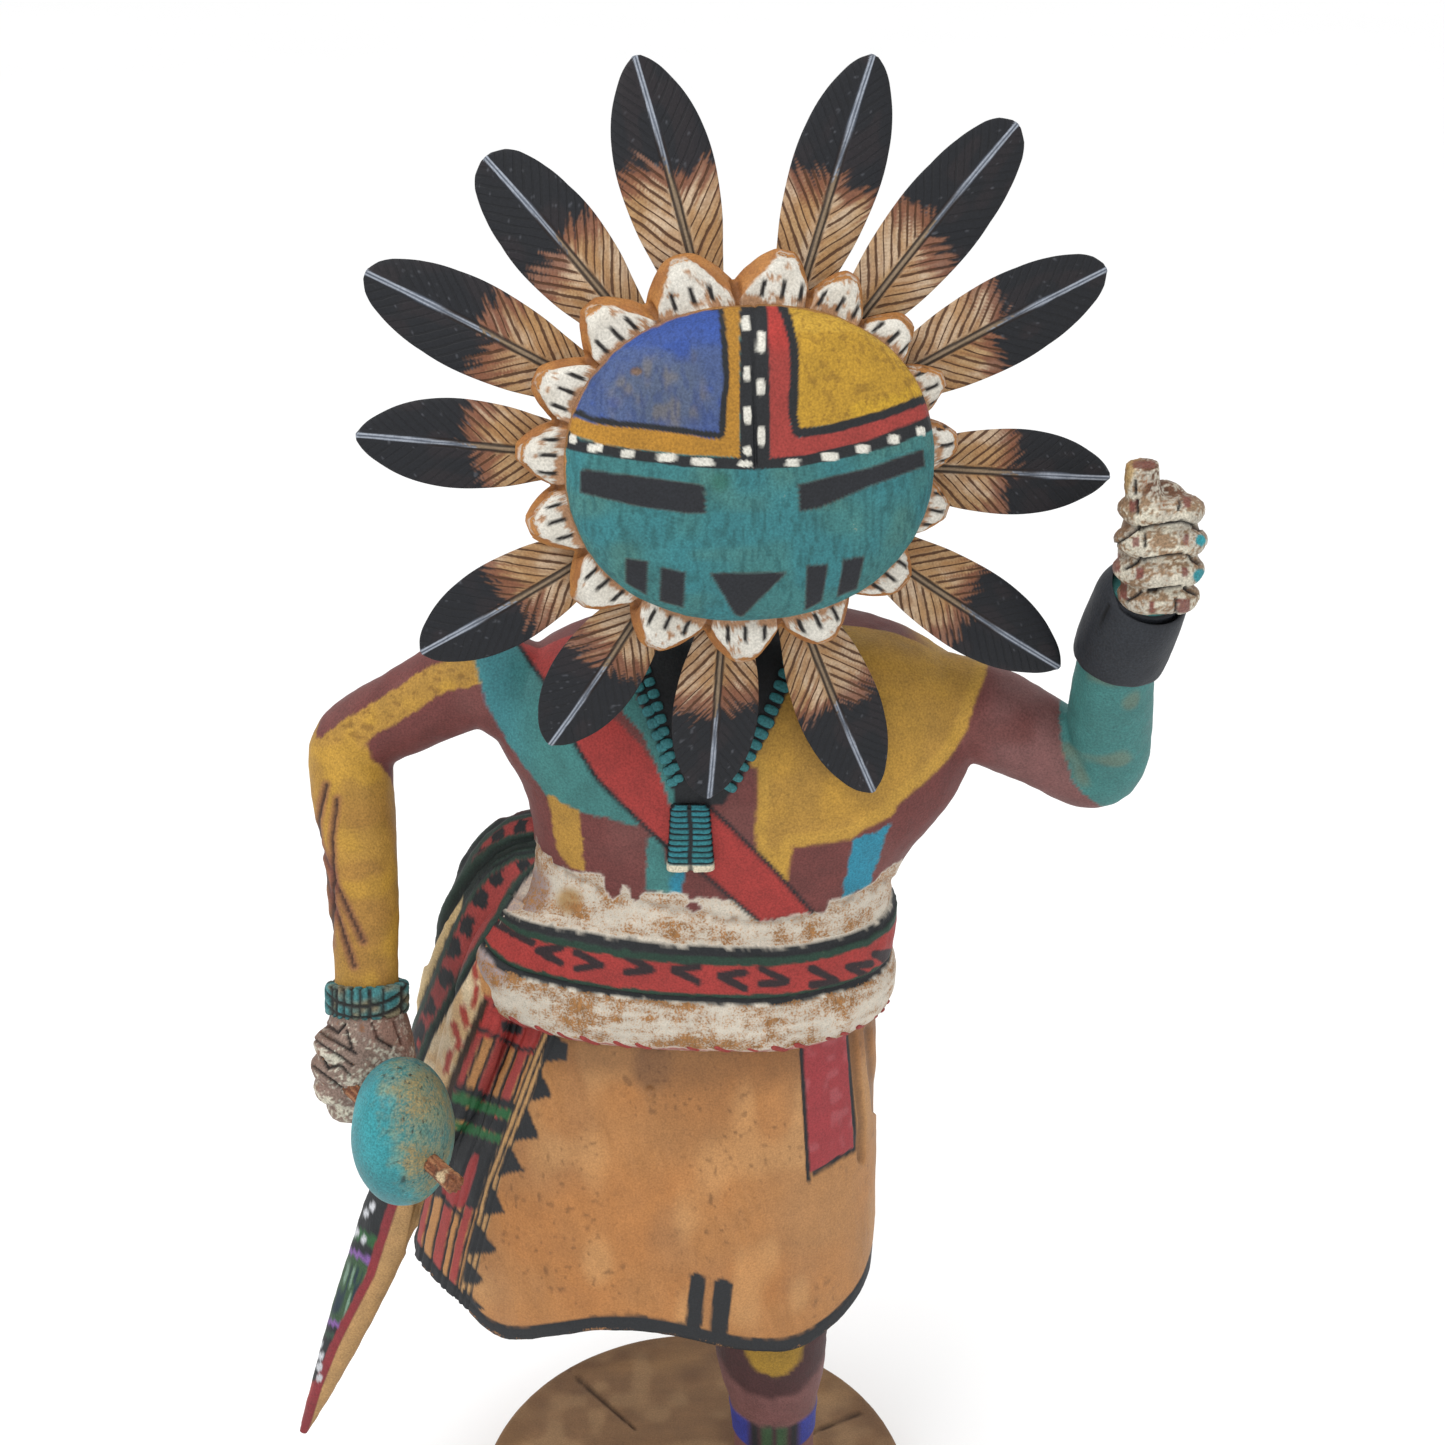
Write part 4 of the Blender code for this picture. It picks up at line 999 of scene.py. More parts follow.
leg_finish = painted_wood("earth paint on the legs", BODY_WOOD)
for name, path, facing in (("standing_leg", STANDING_LEG, (0, -1, 0)),
                           ("kicked_leg", KICKED_LEG, (-1, 0, 0))):
    leg = new_piece(name, *skin(limb_rings(smooth_rows(path, 13), 72, facing)))
    places, out = surface(leg)
    seen = in_photo(places)
    px, py = seen.T
    shake = 1.2 * lumps(places, 1.4, 71)
    paint = bare_paint(len(places), CALF_COLOUR)
    depth = 0.1 * lumps(places, 2, 72)
    wear(paint, 0.16 + 0.12 * lumps(places, 5, 73))
    if name == "standing_leg":
        lay(paint, soft(inside(seen, KNEE_SHADE) + shake, 7) + (py < 1300), "#4c3030")
        lay(paint, soft(inside(seen, KNEE_YELLOW) + shake, 4) * (out[:, 1] < 0.2), "#a88330")
        band = soft(places[:, 2] - GARTER[0], 0.5) * soft(GARTER[1] - places[:, 2] + 0.15 * shake, 0.5)
        lay(paint, band, "#463034")
        side = np.abs(places[:, 0] - 18)
        lay(paint, band * soft(side - 5.5, 1.6) * 0.9, "#34409a")
        cords = soft(0.5 - np.abs((side * 0.55) % 1.6 - 0.8), 0.3) * soft(5 - side, 1) * (out[:, 1] < 0)
        lay(paint, band * cords, BLACK)
        lay(paint, band * soft(1.0 - np.abs(side - 1.6), 0.6) * (out[:, 1] < 0) * 0.8, "#3f5c3c")
        depth -= 0.35 * band
    finish_piece(leg, depth, paint, leg_finish)
    stand_in(leg, "figure")
for number, (ankle, toe_drop) in enumerate(SHOES, 1):
    shoe = new_piece(f"moccasin_{number}", *skin(moccasin_rings(ankle, toe_drop)))
    places, out = surface(shoe)
    from_ankle = places - ankle
    up = from_ankle[:, 2] * math.cos(toe_drop) - from_ankle[:, 1] * math.sin(toe_drop)
    forward = -(from_ankle[:, 1] * math.cos(toe_drop) + from_ankle[:, 2] * math.sin(toe_drop))
    sole = up + MOCCASIN_ANKLE[1] * MOCCASIN[2]
    paint = bare_paint(len(places), MOCCASIN_RED)
    shake = 0.2 * lumps(places, 1.5, 75)
    lay(paint, soft(SOLE_THICKNESS - sole + shake, 0.4), "#d8ccb4")
    seam = soft(0.45 - np.abs(sole - SOLE_THICKNESS + shake), 0.4)
    flap = soft(0.4 - np.abs(from_ankle[:, 0] - 0.16 * forward), 0.4) * soft(sole - 5, 1)
    lay(paint, np.maximum(seam, flap), BLACK)
    cuff = (np.hypot(from_ankle[:, 0], forward) < CUFF_REACH) * soft(sole - CUFF_HEIGHT + shake, 0.5)
    lay(paint, cuff, MOCCASIN_CUFF)
    wear(paint, 0.18 + 0.12 * lumps(places, 4, 76) + 0.25 * soft(2 - sole, 2))
    depth = 0.3 * np.maximum(seam, flap) + 0.12 * lumps(places, 3, 77)
    finish_piece(shoe, depth, paint, leg_finish)
    stand_in(shoe, "figure")

# Necklace and pendant. Strands of turquoise beads are carved in low relief on the chest and
# end in a bead pendant, whose rows are cut with a knife and inked black over turquoise.
PENDANT_FOOT = 195.5
PENDANT_TOP = 209.5
PENDANT_MIDDLE = 0.5
PENDANT_HALF = 4.6
PENDANT_BACK = -16.8
PENDANT_DEEP = 4.75
PENDANT_ROWS = 10
PENDANT_BAR = 1.7
STRANDS = [
    ([(624, 650), (634, 676), (642, 696), (654, 724), (666, 759), (675, 792)], 1.15),
    ([(637, 645), (645, 670), (652, 689), (660, 717), (670, 755), (681, 785)], 1.15),
    ([(798, 640), (790, 665), (781, 688), (764, 725), (745, 761), (727, 790)], 1.5),
]
BEAD_SPACING = 2.35
BEAD_HALVES = (0.92, 1.0, 0.62)
BEAD_BLUE = "#3b8287"


def on_surface(piece, spots):
    """Where these pixels of the photograph fall on a piece, in mm, with the way out there."""
    found = []
    for right, down in (np.array(spots) - PHOTO_WIDTH / 2) / PHOTO_FOCAL:
        way = right * np.array((1, 0, 0)) - down * OVERHEAD + AHEAD
        hit, place, out, _ = piece.ray_cast(EYE * MM, way)
        if hit:
            found.append((*(np.array(place) / MM), *out))
    return np.array(found)


def even_steps(line, spacing):
    """Points at an even spacing along a line of points, with the way along it at each."""
    steps = np.linalg.norm(np.diff(line[:, :3], axis=0), axis=1)
    reach = np.concatenate(([0], np.cumsum(steps)))
    at = np.arange(spacing / 2, reach[-1], spacing)
    even = np.stack([np.interp(at, reach, column) for column in line.T], axis=1)
    along = np.gradient(even[:, :3], axis=0)
    return even[:, :3], even[:, 3:], along / np.linalg.norm(along, axis=1)[:, None]


bead_finish = painted_wood("turquoise bead paint", BODY_WOOD, fleck=0.4)
for number, (line, wide) in enumerate(STRANDS, 1):
    full = smooth_rows(line, 6)
    places, out, along = even_steps(on_surface(body, full), BEAD_SPACING)
    bead = pillow("bead", (BEAD_HALVES[0], BEAD_HALVES[1] * wide, BEAD_HALVES[2]))
    bead_places, _ = surface(bead)
    paint = bare_paint(len(bead_places), BEAD_BLUE)
    lay(paint, soft(0.25 - bead_places[:, 2], 0.3), BLACK)
    colour_in(bead, paint)
    strand = points_with(f"bead_strand_{number}", places + 0.15 * out, along=along, out=out)
    set_along(strand, bead, bead_finish, 0.12, number)
    stand_in(strand, "figure")

share = np.linspace(0, 1, 84)
height = PENDANT_FOOT + (PENDANT_TOP - PENDANT_FOOT) * share
half = PENDANT_HALF * (1 - 0.2 * share) * np.where(share > 0.93, 1 - 4 * (share - 0.93), 1)
flat = np.ones(len(share))
rows = (height, PENDANT_MIDDLE * flat, half, PENDANT_BACK * flat, PENDANT_DEEP - 0.5 * (share > 0.96))
pendant = new_piece("pendant", *skin(level_rings(np.stack(rows, axis=1), 110, 7)))
places, out = surface(pendant)
paint = bare_paint(len(places), "#2f7a80")
lay(paint, soft(lumps(places, 3, 82), 1) * 0.4, "#2a8596")
across = places[:, 0] - PENDANT_MIDDLE
step = (PENDANT_TOP - PENDANT_FOOT - PENDANT_BAR) / PENDANT_ROWS
level = (places[:, 2] - PENDANT_FOOT - PENDANT_BAR + 0.1 * lumps(places, 2, 83)) / step
rows_cut = soft(0.16 - np.abs(level - np.round(level)), 0.12) * (level > -0.3)
centre_cut = soft(0.42 - np.abs(across + 0.25 * lumps(places, 3, 84)), 0.3)
ink = np.maximum(rows_cut, centre_cut)
bar = soft(PENDANT_BAR - 0.35 - (places[:, 2] - PENDANT_FOOT), 0.3)
lay(paint, ink, BLACK)
lay(paint, soft(out[:, 1] + 0.45, 0.4) * (1 - bar), "#20282c")
lay(paint, bar * (1 - centre_cut * 0.8), "#e6dcc2")
depth = 0.42 * ink + 0.08 * lumps(places, 1, 85)
wear(paint, 0.15 + 0.2 * bar)
finish_piece(pendant, depth, paint, bead_finish)
stand_in(pendant, "figure")

# Sash. The woven dance sash is carved as drapery over the right hip, with a fold lying on top
# and one long pointed end that hangs to the slab. Its bands are painted red, black and green.
SASH = [
    (-27, 2, 193.3, 5, 4), (-31.5, 2, 186.3, 11, 6.2), (-35.4, 1.5, 178.3, 14, 7.6),
    (-39, 1, 167.3, 15.5, 8.4), (-43, 2, 153.3, 16, 8.6), (-49.6, 4.5, 134.3, 13.5, 8),
    (-60.5, 8.6, 110.3, 9, 5.6), (-70, 11, 84.3, 7.2, 4.3), (-80, 12.6, 58.3, 5.4, 3.4),
    (-88.5, 14, 36.3, 3, 2.3), (-94.6, 15, 21.1, 1.1, 1),
]
SASH_FOLD = [
    (-33, -5, 180.3, 5, 3.2), (-39, -8.6, 167.3, 6.6, 4.6), (-43.6, -9.2, 152.3, 6.8, 5),
    (-49, -6, 134.3, 6, 4.6), (-56.6, -1, 117.3, 4.4, 3.4), (-61, 2.4, 106.3, 1.6, 1.4),
]
SASH_FACE = (-0.66, -0.75, 0)
SASH_RED = "#9c3e3b"
SASH_GREEN = "#2f4239"
SASH_BLACK = "#232629"
# Lines where they show in the photograph: the front band's edges, and the folds behind it
FRONT_BAND_RIGHT = [
    (545, 862), (521, 881), (505, 908), (490, 933), (474, 958), (459, 985), (444, 1013), (432, 1034),
    (422, 1058), (404, 1100),
]
FRONT_BAND_LEFT = [
    (545, 850), (514, 854), (490, 868), (471, 889), (456, 914), (444, 941), (431, 975), (419, 1003),
    (407, 1030), (385, 1080),
]
BACK_BAND_LEFT = [
    (545, 808), (508, 815), (485, 832), (469, 852), (453, 880), (440, 905), (431, 932), (421, 960),
]
DEEP_FOLDS = [
    [(545, 836), (511, 841), (490, 852), (471, 871), (456, 893), (444, 915), (434, 937), (424, 962)],
    [(545, 843), (513, 847), (492, 858), (474, 877), (459, 900), (449, 920)],
]
CREAM_FOLD = [
    (459, 896), (451, 924), (436, 960), (424, 988), (414, 1014), (404, 1034), (400, 1010), (408, 988),
    (419, 966), (432, 939), (446, 914),
]
HIP_WASH = [
    (560, 830), (545, 835), (538, 845), (536, 868), (522, 884), (508, 905), (500, 925), (540, 925),
    (570, 900),
]
FRONT_TRACKS = [
    (525, 864), (497, 875), (481, 899), (467, 927), (454, 949), (445, 979), (429, 1005), (419, 1030),
    (410, 1052),
]
BACK_TRACKS = [(520, 829), (497, 838), (476, 856), (460, 878), (448, 904)]
TAIL_LINE = [(372, 1180), (352, 1222), (331, 1264), (325, 1315), (306, 1381), (296, 1440)]
TAIL_RIGHT = [(402, 1190), (385, 1241), (374, 1276), (352, 1318), (338, 1346), (321, 1388), (303, 1446)]
TAIL_EDGE = 9
TAIL_BANDS = [
    (1100, 1224, SASH_BLACK), (1224, 1234, "#2f6338"), (1234, 1243, SASH_BLACK), (1243, 1248, "#8a5fa6"),
    (1248, 1316, "#3b5a3c"), (1316, 1321, "#8a5fa6"), (1321, 1328, SASH_BLACK), (1328, 1334, "#30483a"),
    (1334, 1378, "#25272b"), (1378, 1500, SASH_RED),
]
TAIL_SLOPE = 0.42
TAIL_DOTS = [
    (372, 1207), (366, 1213), (356, 1232), (364, 1239), (320, 1344), (321, 1356), (319.5, 1367),
    (319.5, 1378),
]

sash_finish = painted_wood("sash paint on carved folds", "#c69a63")
for name, path, steps, around in (("sash", SASH, 22, 150), ("sash_fold", SASH_FOLD, 16, 84)):
    drape = new_piece(name, *skin(limb_rings(smooth_rows(path, steps), around, SASH_FACE)))
    places, out = surface(drape)
    seen = in_photo(places)
    px, py = seen.T
    front = soft(0.25 - out[:, 1], 0.3)
    shake = 0.9 * lumps(places, 1.4, 91) + 0.5 * lumps(places, 0.6, 92)
    paint = bare_paint(len(places), SASH_GREEN)
    weave = lumps(places, 3.2, 93)
    lay(paint, soft(weave - 0.35 + 0.3 * shake, 0.3) * 0.7, SASH_BLACK)
    upper = soft(1150 - py, 20)
    depth = 0.12 * lumps(places, 2.5, 94)
    for left, right, tracks in (
        (BACK_BAND_LEFT, DEEP_FOLDS[0], BACK_TRACKS), (FRONT_BAND_LEFT, FRONT_BAND_RIGHT, FRONT_TRACKS),
    ):
        from_left = off_line(seen, left)
        from_right = off_line(seen, right)
        band = inside(seen, left + right[::-1])
        lay(paint, upper * soft(band + 0.5 * shake, 2), SASH_GREEN)
        red = upper * soft(band - 6.5 + shake, 2)
        lay(paint, red, SASH_RED)
        for x, y in tracks:
            off = np.hypot((px - x) * 1.1, (py - y) * 0.8)
            lay(paint, red * soft(8.5 - off + 4.5 * shake, 2), SASH_BLACK)
        edge = upper * soft(1.6 - np.minimum(from_left, from_right) + 0.4 * shake, 2)
        lay(paint, edge, SASH_BLACK)
        depth += 0.5 * edge
    # The deep folds are cut in and darkened nearly black with painted shade
    for line in DEEP_FOLDS:
        fold = upper * soft(3 - off_line(seen, line), 4)
        lay(paint, fold * 0.9, "#1d2624")
        depth += 1.1 * fold
    lay(paint, upper * soft(inside(seen, CREAM_FOLD) + 0.6 * shake, 2), "#dcc08c")
    # At the hip the whitewash of the waist runs over onto it
    hip = front * soft(inside(seen, HIP_WASH) + shake, 2)
    lay(paint, hip, "#cdbfae")
    lay(paint, hip * 0.6 * soft(lumps(places, 3, 98), 0.8), "#94797a")
    # Where the kilt's panel laps over the sash, its paint and its gutter run on across the fold
    kilt_side = soft(px - line_at(seen, FRONT_BAND_RIGHT) - 3, 2)
    kilt_side *= soft(py - 945, 4) * front
    lay(paint, kilt_side, "#c08a55")
    depth += paint_panel(paint, places, seen, shake, kilt_side)
    if name == "sash":
        lower = soft(py - 1120, 20)
        from_line = px - line_at(seen, TAIL_LINE)
        to_right = line_at(seen, TAIL_RIGHT) - px
        slope = py - TAIL_SLOPE * from_line
        lay(paint, lower, "#33433b")
        lay(paint, lower * soft(lumps(places, 5, 95) - 0.4, 0.2) * 0.7, "#7c3f3b")
        for start, end, colour in TAIL_BANDS:
            cover = lower * soft(slope - start + 0.6 * shake, 1.6) * soft(end - slope - 0.6 * shake, 1.6)
            lay(paint, cover * soft(from_line, 2) * soft(to_right, 2), colour)
        streaked = lower * soft(slope - 1256, 8) * soft(1310 - slope, 8)
        streaked = streaked * soft(from_line - 3, 3) * soft(to_right - TAIL_EDGE, 2)
        thin = lumps(np.stack((px + 0.28 * py, py * 0.12), axis=1), 3.2, 96)
        lay(paint, streaked * soft(thin - 0.25, 0.3), "#1d3440")
        lay(paint, streaked * soft(-thin - 0.45, 0.3), "#7d9a86")
        lay(paint, lower * soft(TAIL_EDGE - to_right + shake, 2) * soft(to_right + 1, 2), "#8f3238")
        lay(paint, lower * soft(-to_right - 1, 2) * 0.95, "#c49a64")
        for x, y in TAIL_DOTS:
            off = np.hypot(px - x, (py - y) * 0.8)
            lay(paint, lower * front * soft(3.2 - off + 0.5 * shake, 1.6), "#d9dbe0")
        line = lower * soft(1.5 - off_line(seen, TAIL_LINE) + 0.3 * shake, 1.6)
        lay(paint, line, SASH_BLACK)
        depth += 0.4 * line
    # Behind, the paint is one plain red that follows the weave
    back = linear("#6d3936") * (0.85 + 0.25 * weave[:, None])
    paint[:, :3] = paint[:, :3] * front[:, None] + (1 - front[:, None]) * back
    wear(paint, 0.15 + 0.14 * lumps(places, 4, 97) + 0.36 * hip)
    finish_piece(drape, depth, paint, sash_finish)
    stand_in(drape, "figure")

# Hands. Both fists are carved on the ends of the arms, the fingers cut apart with a knife and
# painted cream over the brown wood. The right fist is bored for the rattle and wears a bracelet
# cut in a grid. The left fist is raised, with a broad black band painted round the wrist.
RIGHT_BRACELET = [(-63.5, -14.7, 167.2, 7, 7), (-63.5, -17.2, 161.2, 7, 7)]
BRACELET_SWELL = 1.25
BRACELET_UPRIGHTS = [331, 335.5, 343, 351, 360, 370, 384, 403]
BRACELET_LEVELS = [984, 996.5, 1008.5, 1016]
BRACELET_SPAN = (983, 1018)
RIGHT_FIST = ((-65.4, -20.6, 150.8), (7.8, 7.4, 11.6))
RIGHT_WRIST = [
    (-63.2, -16.8, 162.6, 6.9, 6.9), (-63.3, -18, 158.6, 8.9, 7), (-63.8, -19, 153.5, 10.4, 6.4),
    (-65, -19.8, 146, 10.2, 6.2),
]
RIGHT_FINGERS = [
    (-67.8, -22.5, 157.3, 5.8), (-68.2, -23.5, 152.7, 6.2), (-68, -23.8, 148.1, 6.2),
    (-66.8, -23, 143.5, 5.4),
]
RIGHT_CUTS = [
    [(321, 1022), (337, 1032), (345, 1024)], [(319, 1030), (356, 1054)], [(315, 1040), (353, 1066)],
    [(346, 1031), (352, 1048)], [(321, 1058), (328, 1068), (340, 1066), (350, 1076)],
    [(312, 1066), (335, 1084), (352, 1096)], [(372, 1024), (378, 1040), (392, 1048)],
    [(395, 1022), (402, 1044)],
]
LEFT_BAND = [
    (78.3, -15.2, 235.9, 7.2, 7.2), (78.6, -15.8, 238.2, 8.5, 8.5), (80.4, -21.2, 250.6, 8.2, 8.2),
    (80.8, -22.2, 252.6, 6.6, 6.6),
]
BAND_SPLIT = [(1109, 606), (1104, 616), (1099, 630)]
LEFT_FIST = ((81.8, -24, 260.9), (6.8, 6.4, 12.4))
LEFT_FINGERS = [
    (81.2, -27.6, 268.9, 7.4), (81.4, -28.4, 263.7, 7.9), (81.6, -28.2, 258.3, 7.8),
    (82.2, -27.4, 253.1, 7),
]
LEFT_THUMB = [(80.6, -25, 264.3, 3.6, 3.6), (77.6, -27, 272.3, 3.1, 3.1), (77, -27.6, 277.4, 2.8, 2.8)]
LEFT_CUTS = [
    [(1112, 547), (1139, 527)], [(1139, 529), (1183, 522)], [(1185, 523), (1200, 529)],
    [(1124, 569), (1141, 559)], [(1143, 560), (1182, 555)], [(1187, 556), (1199, 563)],
    [(1126, 601), (1141, 592)], [(1148, 591), (1180, 587)], [(1185, 588), (1197, 594)],
    [(1149, 617), (1176, 616)], [(1137, 501), (1137, 513)], [(1145, 534), (1145, 547)],
    [(1180, 500), (1179, 509)], [(1176, 599), (1176, 613)], [(1135, 481), (1135, 494)],
]
LEFT_MAROONS = [
    (1132, 507, 3, 6), (1187, 502, 4, 6), (1136, 542, 4, 6), (1186, 540, 2.5, 6), (1140, 573, 3.5, 5.5),
    (1185, 572, 3, 5), (1152, 607, 2.5, 6), (1184, 606, 6, 7), (1110, 533, 4, 11), (1115, 563, 5, 10),
    (1123, 591, 3.5, 8), (1129, 617, 3, 6), (1144, 464, 11, 4),
]
LEFT_NAILS = [(1201, 540, 5, 6), (1200, 576, 6.5, 7.5)]
FINGER_HALVES = (4.2, 2.75)
HAND_GRAIN = 0.4
CREAM = "#ddd6c2"
HAND_BROWN = "#6e4a35"


def ball(middle, halves, rows=30, around=40):
    """A closed egg of these half sizes about its middle."""
    rings = []
    turns = even_turns(around)
    for tilt in np.linspace(-1, 1, rows) * math.pi / 2 * 0.97:
        x, y = oval(turns, halves[0] * math.cos(tilt), halves[1] * math.cos(tilt), 2.2)
        rings.append(np.stack((x, y, np.full(around, halves[2] * math.sin(tilt))), axis=1) + middle)
    return skin(np.array(rings))


def finger(x, y, z, half_length):
    """One bent finger across the front of a fist, rounded at both ends."""
    rings = []
    for share in np.sin(np.linspace(-1, 1, 24) * math.pi / 2):
        swell = math.sqrt(max(1 - share**4, 0.12))
        turns = even_turns(36)
        deep, tall = oval(turns, FINGER_HALVES[0] * swell, FINGER_HALVES[1] * swell, 2.4)
        across = np.full(36, x + share * half_length)
        rings.append(np.stack((across, y + 1.6 * share**2 + deep, z + tall), axis=1))
    return skin(np.array(rings))


bracelet_path = smooth_rows(RIGHT_BRACELET, 28)
share = np.linspace(0, 1, len(bracelet_path))
bracelet_path[:, 3:] += (BRACELET_SWELL * (1 - np.abs(2 * share - 1) ** 8))[:, None]
bracelet = new_piece("right_bracelet", *skin(limb_rings(bracelet_path, 120, (0, -1, 0))))
places, out = surface(bracelet)
front = np.where(out[:, 1] < 0.1, 1.0, 0.0)
seen = in_photo(places)
px, py = seen.T
shake = 0.6 * lumps(places, 1, 101)
paint = bare_paint(len(places), "#46878a")
lay(paint, 0.7 * soft(lumps(places, 3, 102), 0.8), "#9a7a4c")
lay(paint, 0.6 * soft(lumps(places, 1.4, 103) - 0.2, 0.5), "#2f6d70")
ink = np.zeros(len(places))
for x in BRACELET_UPRIGHTS:
    ink = np.maximum(ink, front * soft(1.8 - np.abs(px - x) + shake, 1.6))
turn_round = np.degrees(np.arctan2(places[:, 1] + 16, places[:, 0] + 63.5)) % 24 - 12
ink = np.maximum(ink, (1 - front) * soft(3 - np.abs(turn_round), 3))
for y in BRACELET_LEVELS:
    level = np.interp(y, BRACELET_SPAN, (RIGHT_BRACELET[0][2], RIGHT_BRACELET[1][2]))
    ink = np.maximum(ink, soft(0.38 - np.abs(places[:, 2] - level - 0.1 * shake), 0.35))
lay(paint, ink, "#2a2a28")
wear(paint, 0.25 + 0.2 * lumps(places, 2.5, 104))
hand_finish = painted_wood("cream paint on the hands", "#8a5a38", mottle=0.1, fleck=0.45, relief=0.16)
finish_piece(bracelet, 0.5 * ink, paint, hand_finish)
stand_in(bracelet, "figure")

right_hand = fused("right_hand", [
    ball(*RIGHT_FIST), skin(limb_rings(smooth_rows(RIGHT_WRIST, 10), 40, (-0.4, -1, 0))),
    *(finger(*spot) for spot in RIGHT_FINGERS),
], HAND_GRAIN, 4)
left_hand = fused("left_hand", [
    ball(*LEFT_FIST), skin(limb_rings(smooth_rows(LEFT_THUMB, 8), 30, (0, -1, 0))),
    *(finger(*spot) for spot in LEFT_FINGERS),
], HAND_GRAIN, 4)
for hand, cuts, purple in ((right_hand, RIGHT_CUTS, "#7d5a50"), (left_hand, LEFT_CUTS, "#8a6136")):
    places, out = surface(hand)
    front = np.where(out[:, 1] < 0.35, 1.0, 0.0)
    seen = in_photo(places)
    px, py = seen.T
    shake = 0.9 * lumps(places, 1, 105) + 0.5 * lumps(places, 0.5, 106)
    paint = bare_paint(len(places), CREAM)
    lay(paint, 0.55 * soft(lumps(places, 3.5, 107), 1), "#b9b0a4")
    speckled = lumps(places, 0.45, 108) + 0.7 * lumps(places, 2.6, 109) + 0.4 * (out[:, 2] > 0.25)
    specks = soft(speckled - 0.2 + 0.35 * (hand is right_hand), 0.4)
    lay(paint, 0.8 * specks, purple)
    depth = 0.1 * specks
    for line in cuts:
        ink = front * soft(1.5 - off_line(seen, line) + 0.4 * shake, 1.8)
        lay(paint, ink, "#241e1c")
        depth += 0.5 * ink
    if hand is left_hand:
        thumb = soft(496 - py, 5)
        lay(paint, thumb * soft(1126 - px + 0.35 * (496 - py), 5) * 0.8, "#b58f4e")
        lay(paint, thumb * soft(px - 1143, 5) * specks, HAND_BROWN)
        for x, y, half_width, half_height in LEFT_MAROONS:
            gap = np.maximum(np.abs(px - x) - half_width, np.abs(py - y) - half_height)
            lay(paint, 0.85 * front * soft(shake - gap, 1.6), "#7c3f3a")
        for x, y, half_width, half_height in LEFT_NAILS:
            gap = np.hypot((px - x) / half_width, (py - y) / half_height)
            lay(paint, front * soft(1 - gap + 0.1 * shake, 0.3), "#2f9aa5")
        chips = soft(py - 621 + 1.5 * shake, 2)
        lay(paint, chips * 0.8, "#9a6a36")
    else:
        lay(paint, soft(places[:, 1] + 19 + shake, 3) * 0.6, "#8a6f66")
        lay(paint, 0.5 * soft(px - 372, 20) * soft(lumps(places, 2, 110) + 0.2, 0.6), "#8a5a4a")
    # Where the surface turns side-on, in the gaps and round the fingers, brown is laid as painted shade
    crevice_shade = soft(0.28 - np.abs(out @ np.array((0, -1, 0))), 0.4) * front
    lay(paint, 0.35 * crevice_shade, HAND_BROWN)
    wear(paint, 0.3 + 0.22 * lumps(places, 1.6, 111))
    finish_piece(hand, depth, paint, hand_finish)
    stand_in(hand, "figure")

band = new_piece("left_wristband", *skin(limb_rings(smooth_rows(LEFT_BAND, 14), 84, (0, -1, 0))))
places, out = surface(band)
seen = in_photo(places)
paint = bare_paint(len(places), "#2b2e34")
lay(paint, 0.5 * soft(lumps(places, 4, 112), 1), "#34383e")
split = soft(1.2 - off_line(seen, BAND_SPLIT), 1.6)
lay(paint, split, "#131416")
wear(paint, 0.12 + 0.14 * lumps(places, 3, 113))
band_finish = painted_wood("black paint on the wrist", "#8a5a38", mottle=0.12, fleck=0.35)
finish_piece(band, 0.35 * split + 0.08 * lumps(places, 2, 114), paint, band_finish)
stand_in(band, "figure")

# Rattle. A separate small egg of wood stands for the gourd, painted turquoise in front and left
# speckled over a green ground, with a whittled stick through it that is held in the right fist.
GOURD_MIDDLE = (-54.4, -37.3, 147.9)
GOURD_HALVES = (9.75, 11.9, 15.1)
STICK_AIM = np.array((0.67, -0.73, -0.11))
STICK_RADIUS = 2.0
STICK_REACH = 9.4
STICK_HIDDEN = 8
STICK_OFFSET = (-1.6, 0, 0.6)
GOURD_SPECKLED = [
    (396, 1050), (420, 1052), (452, 1080), (462, 1130), (440, 1180), (425, 1205), (405, 1190), (398, 1150),
    (388, 1110), (385, 1075),
]
GOURD_FOOT = [(350, 1150), (372, 1172), (395, 1170), (410, 1186), (408, 1215), (360, 1205)]

aim = STICK_AIM / np.linalg.norm(STICK_AIM)
inside_gourd = 1 / np.sqrt(((aim / (np.array(GOURD_HALVES) + 0.05)) ** 2).sum())
gourd = new_piece("gourd", *ball(GOURD_MIDDLE, GOURD_HALVES, 120, 150))
places, out = surface(gourd)
seen = in_photo(places)
shake = 2 * lumps(places, 1.6, 121) + 1.5 * lumps(places, 0.7, 122)
paint = bare_paint(len(places), "#3a99a0")
lay(paint, 0.5 * soft(lumps(places, 4, 123), 1), "#3a8f98")
ground = soft(inside(seen, GOURD_SPECKLED) + 4 * shake + 4, 26)
lay(paint, 0.55 * ground, "#5c8a7c")
lay(paint, 0.4 * ground * soft(lumps(places, 2.4, 124) - 0.1, 0.6), "#8f9a72")
lay(paint, 0.5 * soft(inside(seen, GOURD_FOOT) + 2 * shake, 24), "#2c6f74")
stipple = soft(lumps(places, 0.42, 129) + 0.4 * lumps(places, 3, 130) - 0.05, 0.3)
lay(paint, 0.4 * ground * stipple, "#a59c76")
lay(paint, 0.5 * ground * soft(-lumps(places, 0.42, 129) - 0.35, 0.3), "#3f5f58")
specks = soft(lumps(places, 0.6, 125) - 0.62, 0.16) * (0.15 + 0.85 * ground)
lay(paint, specks * 0.85, "#2b2622")
lay(paint, 0.7 * (out[:, 1] > 0.2) * soft(lumps(places, 3, 126), 1), "#3a8087")
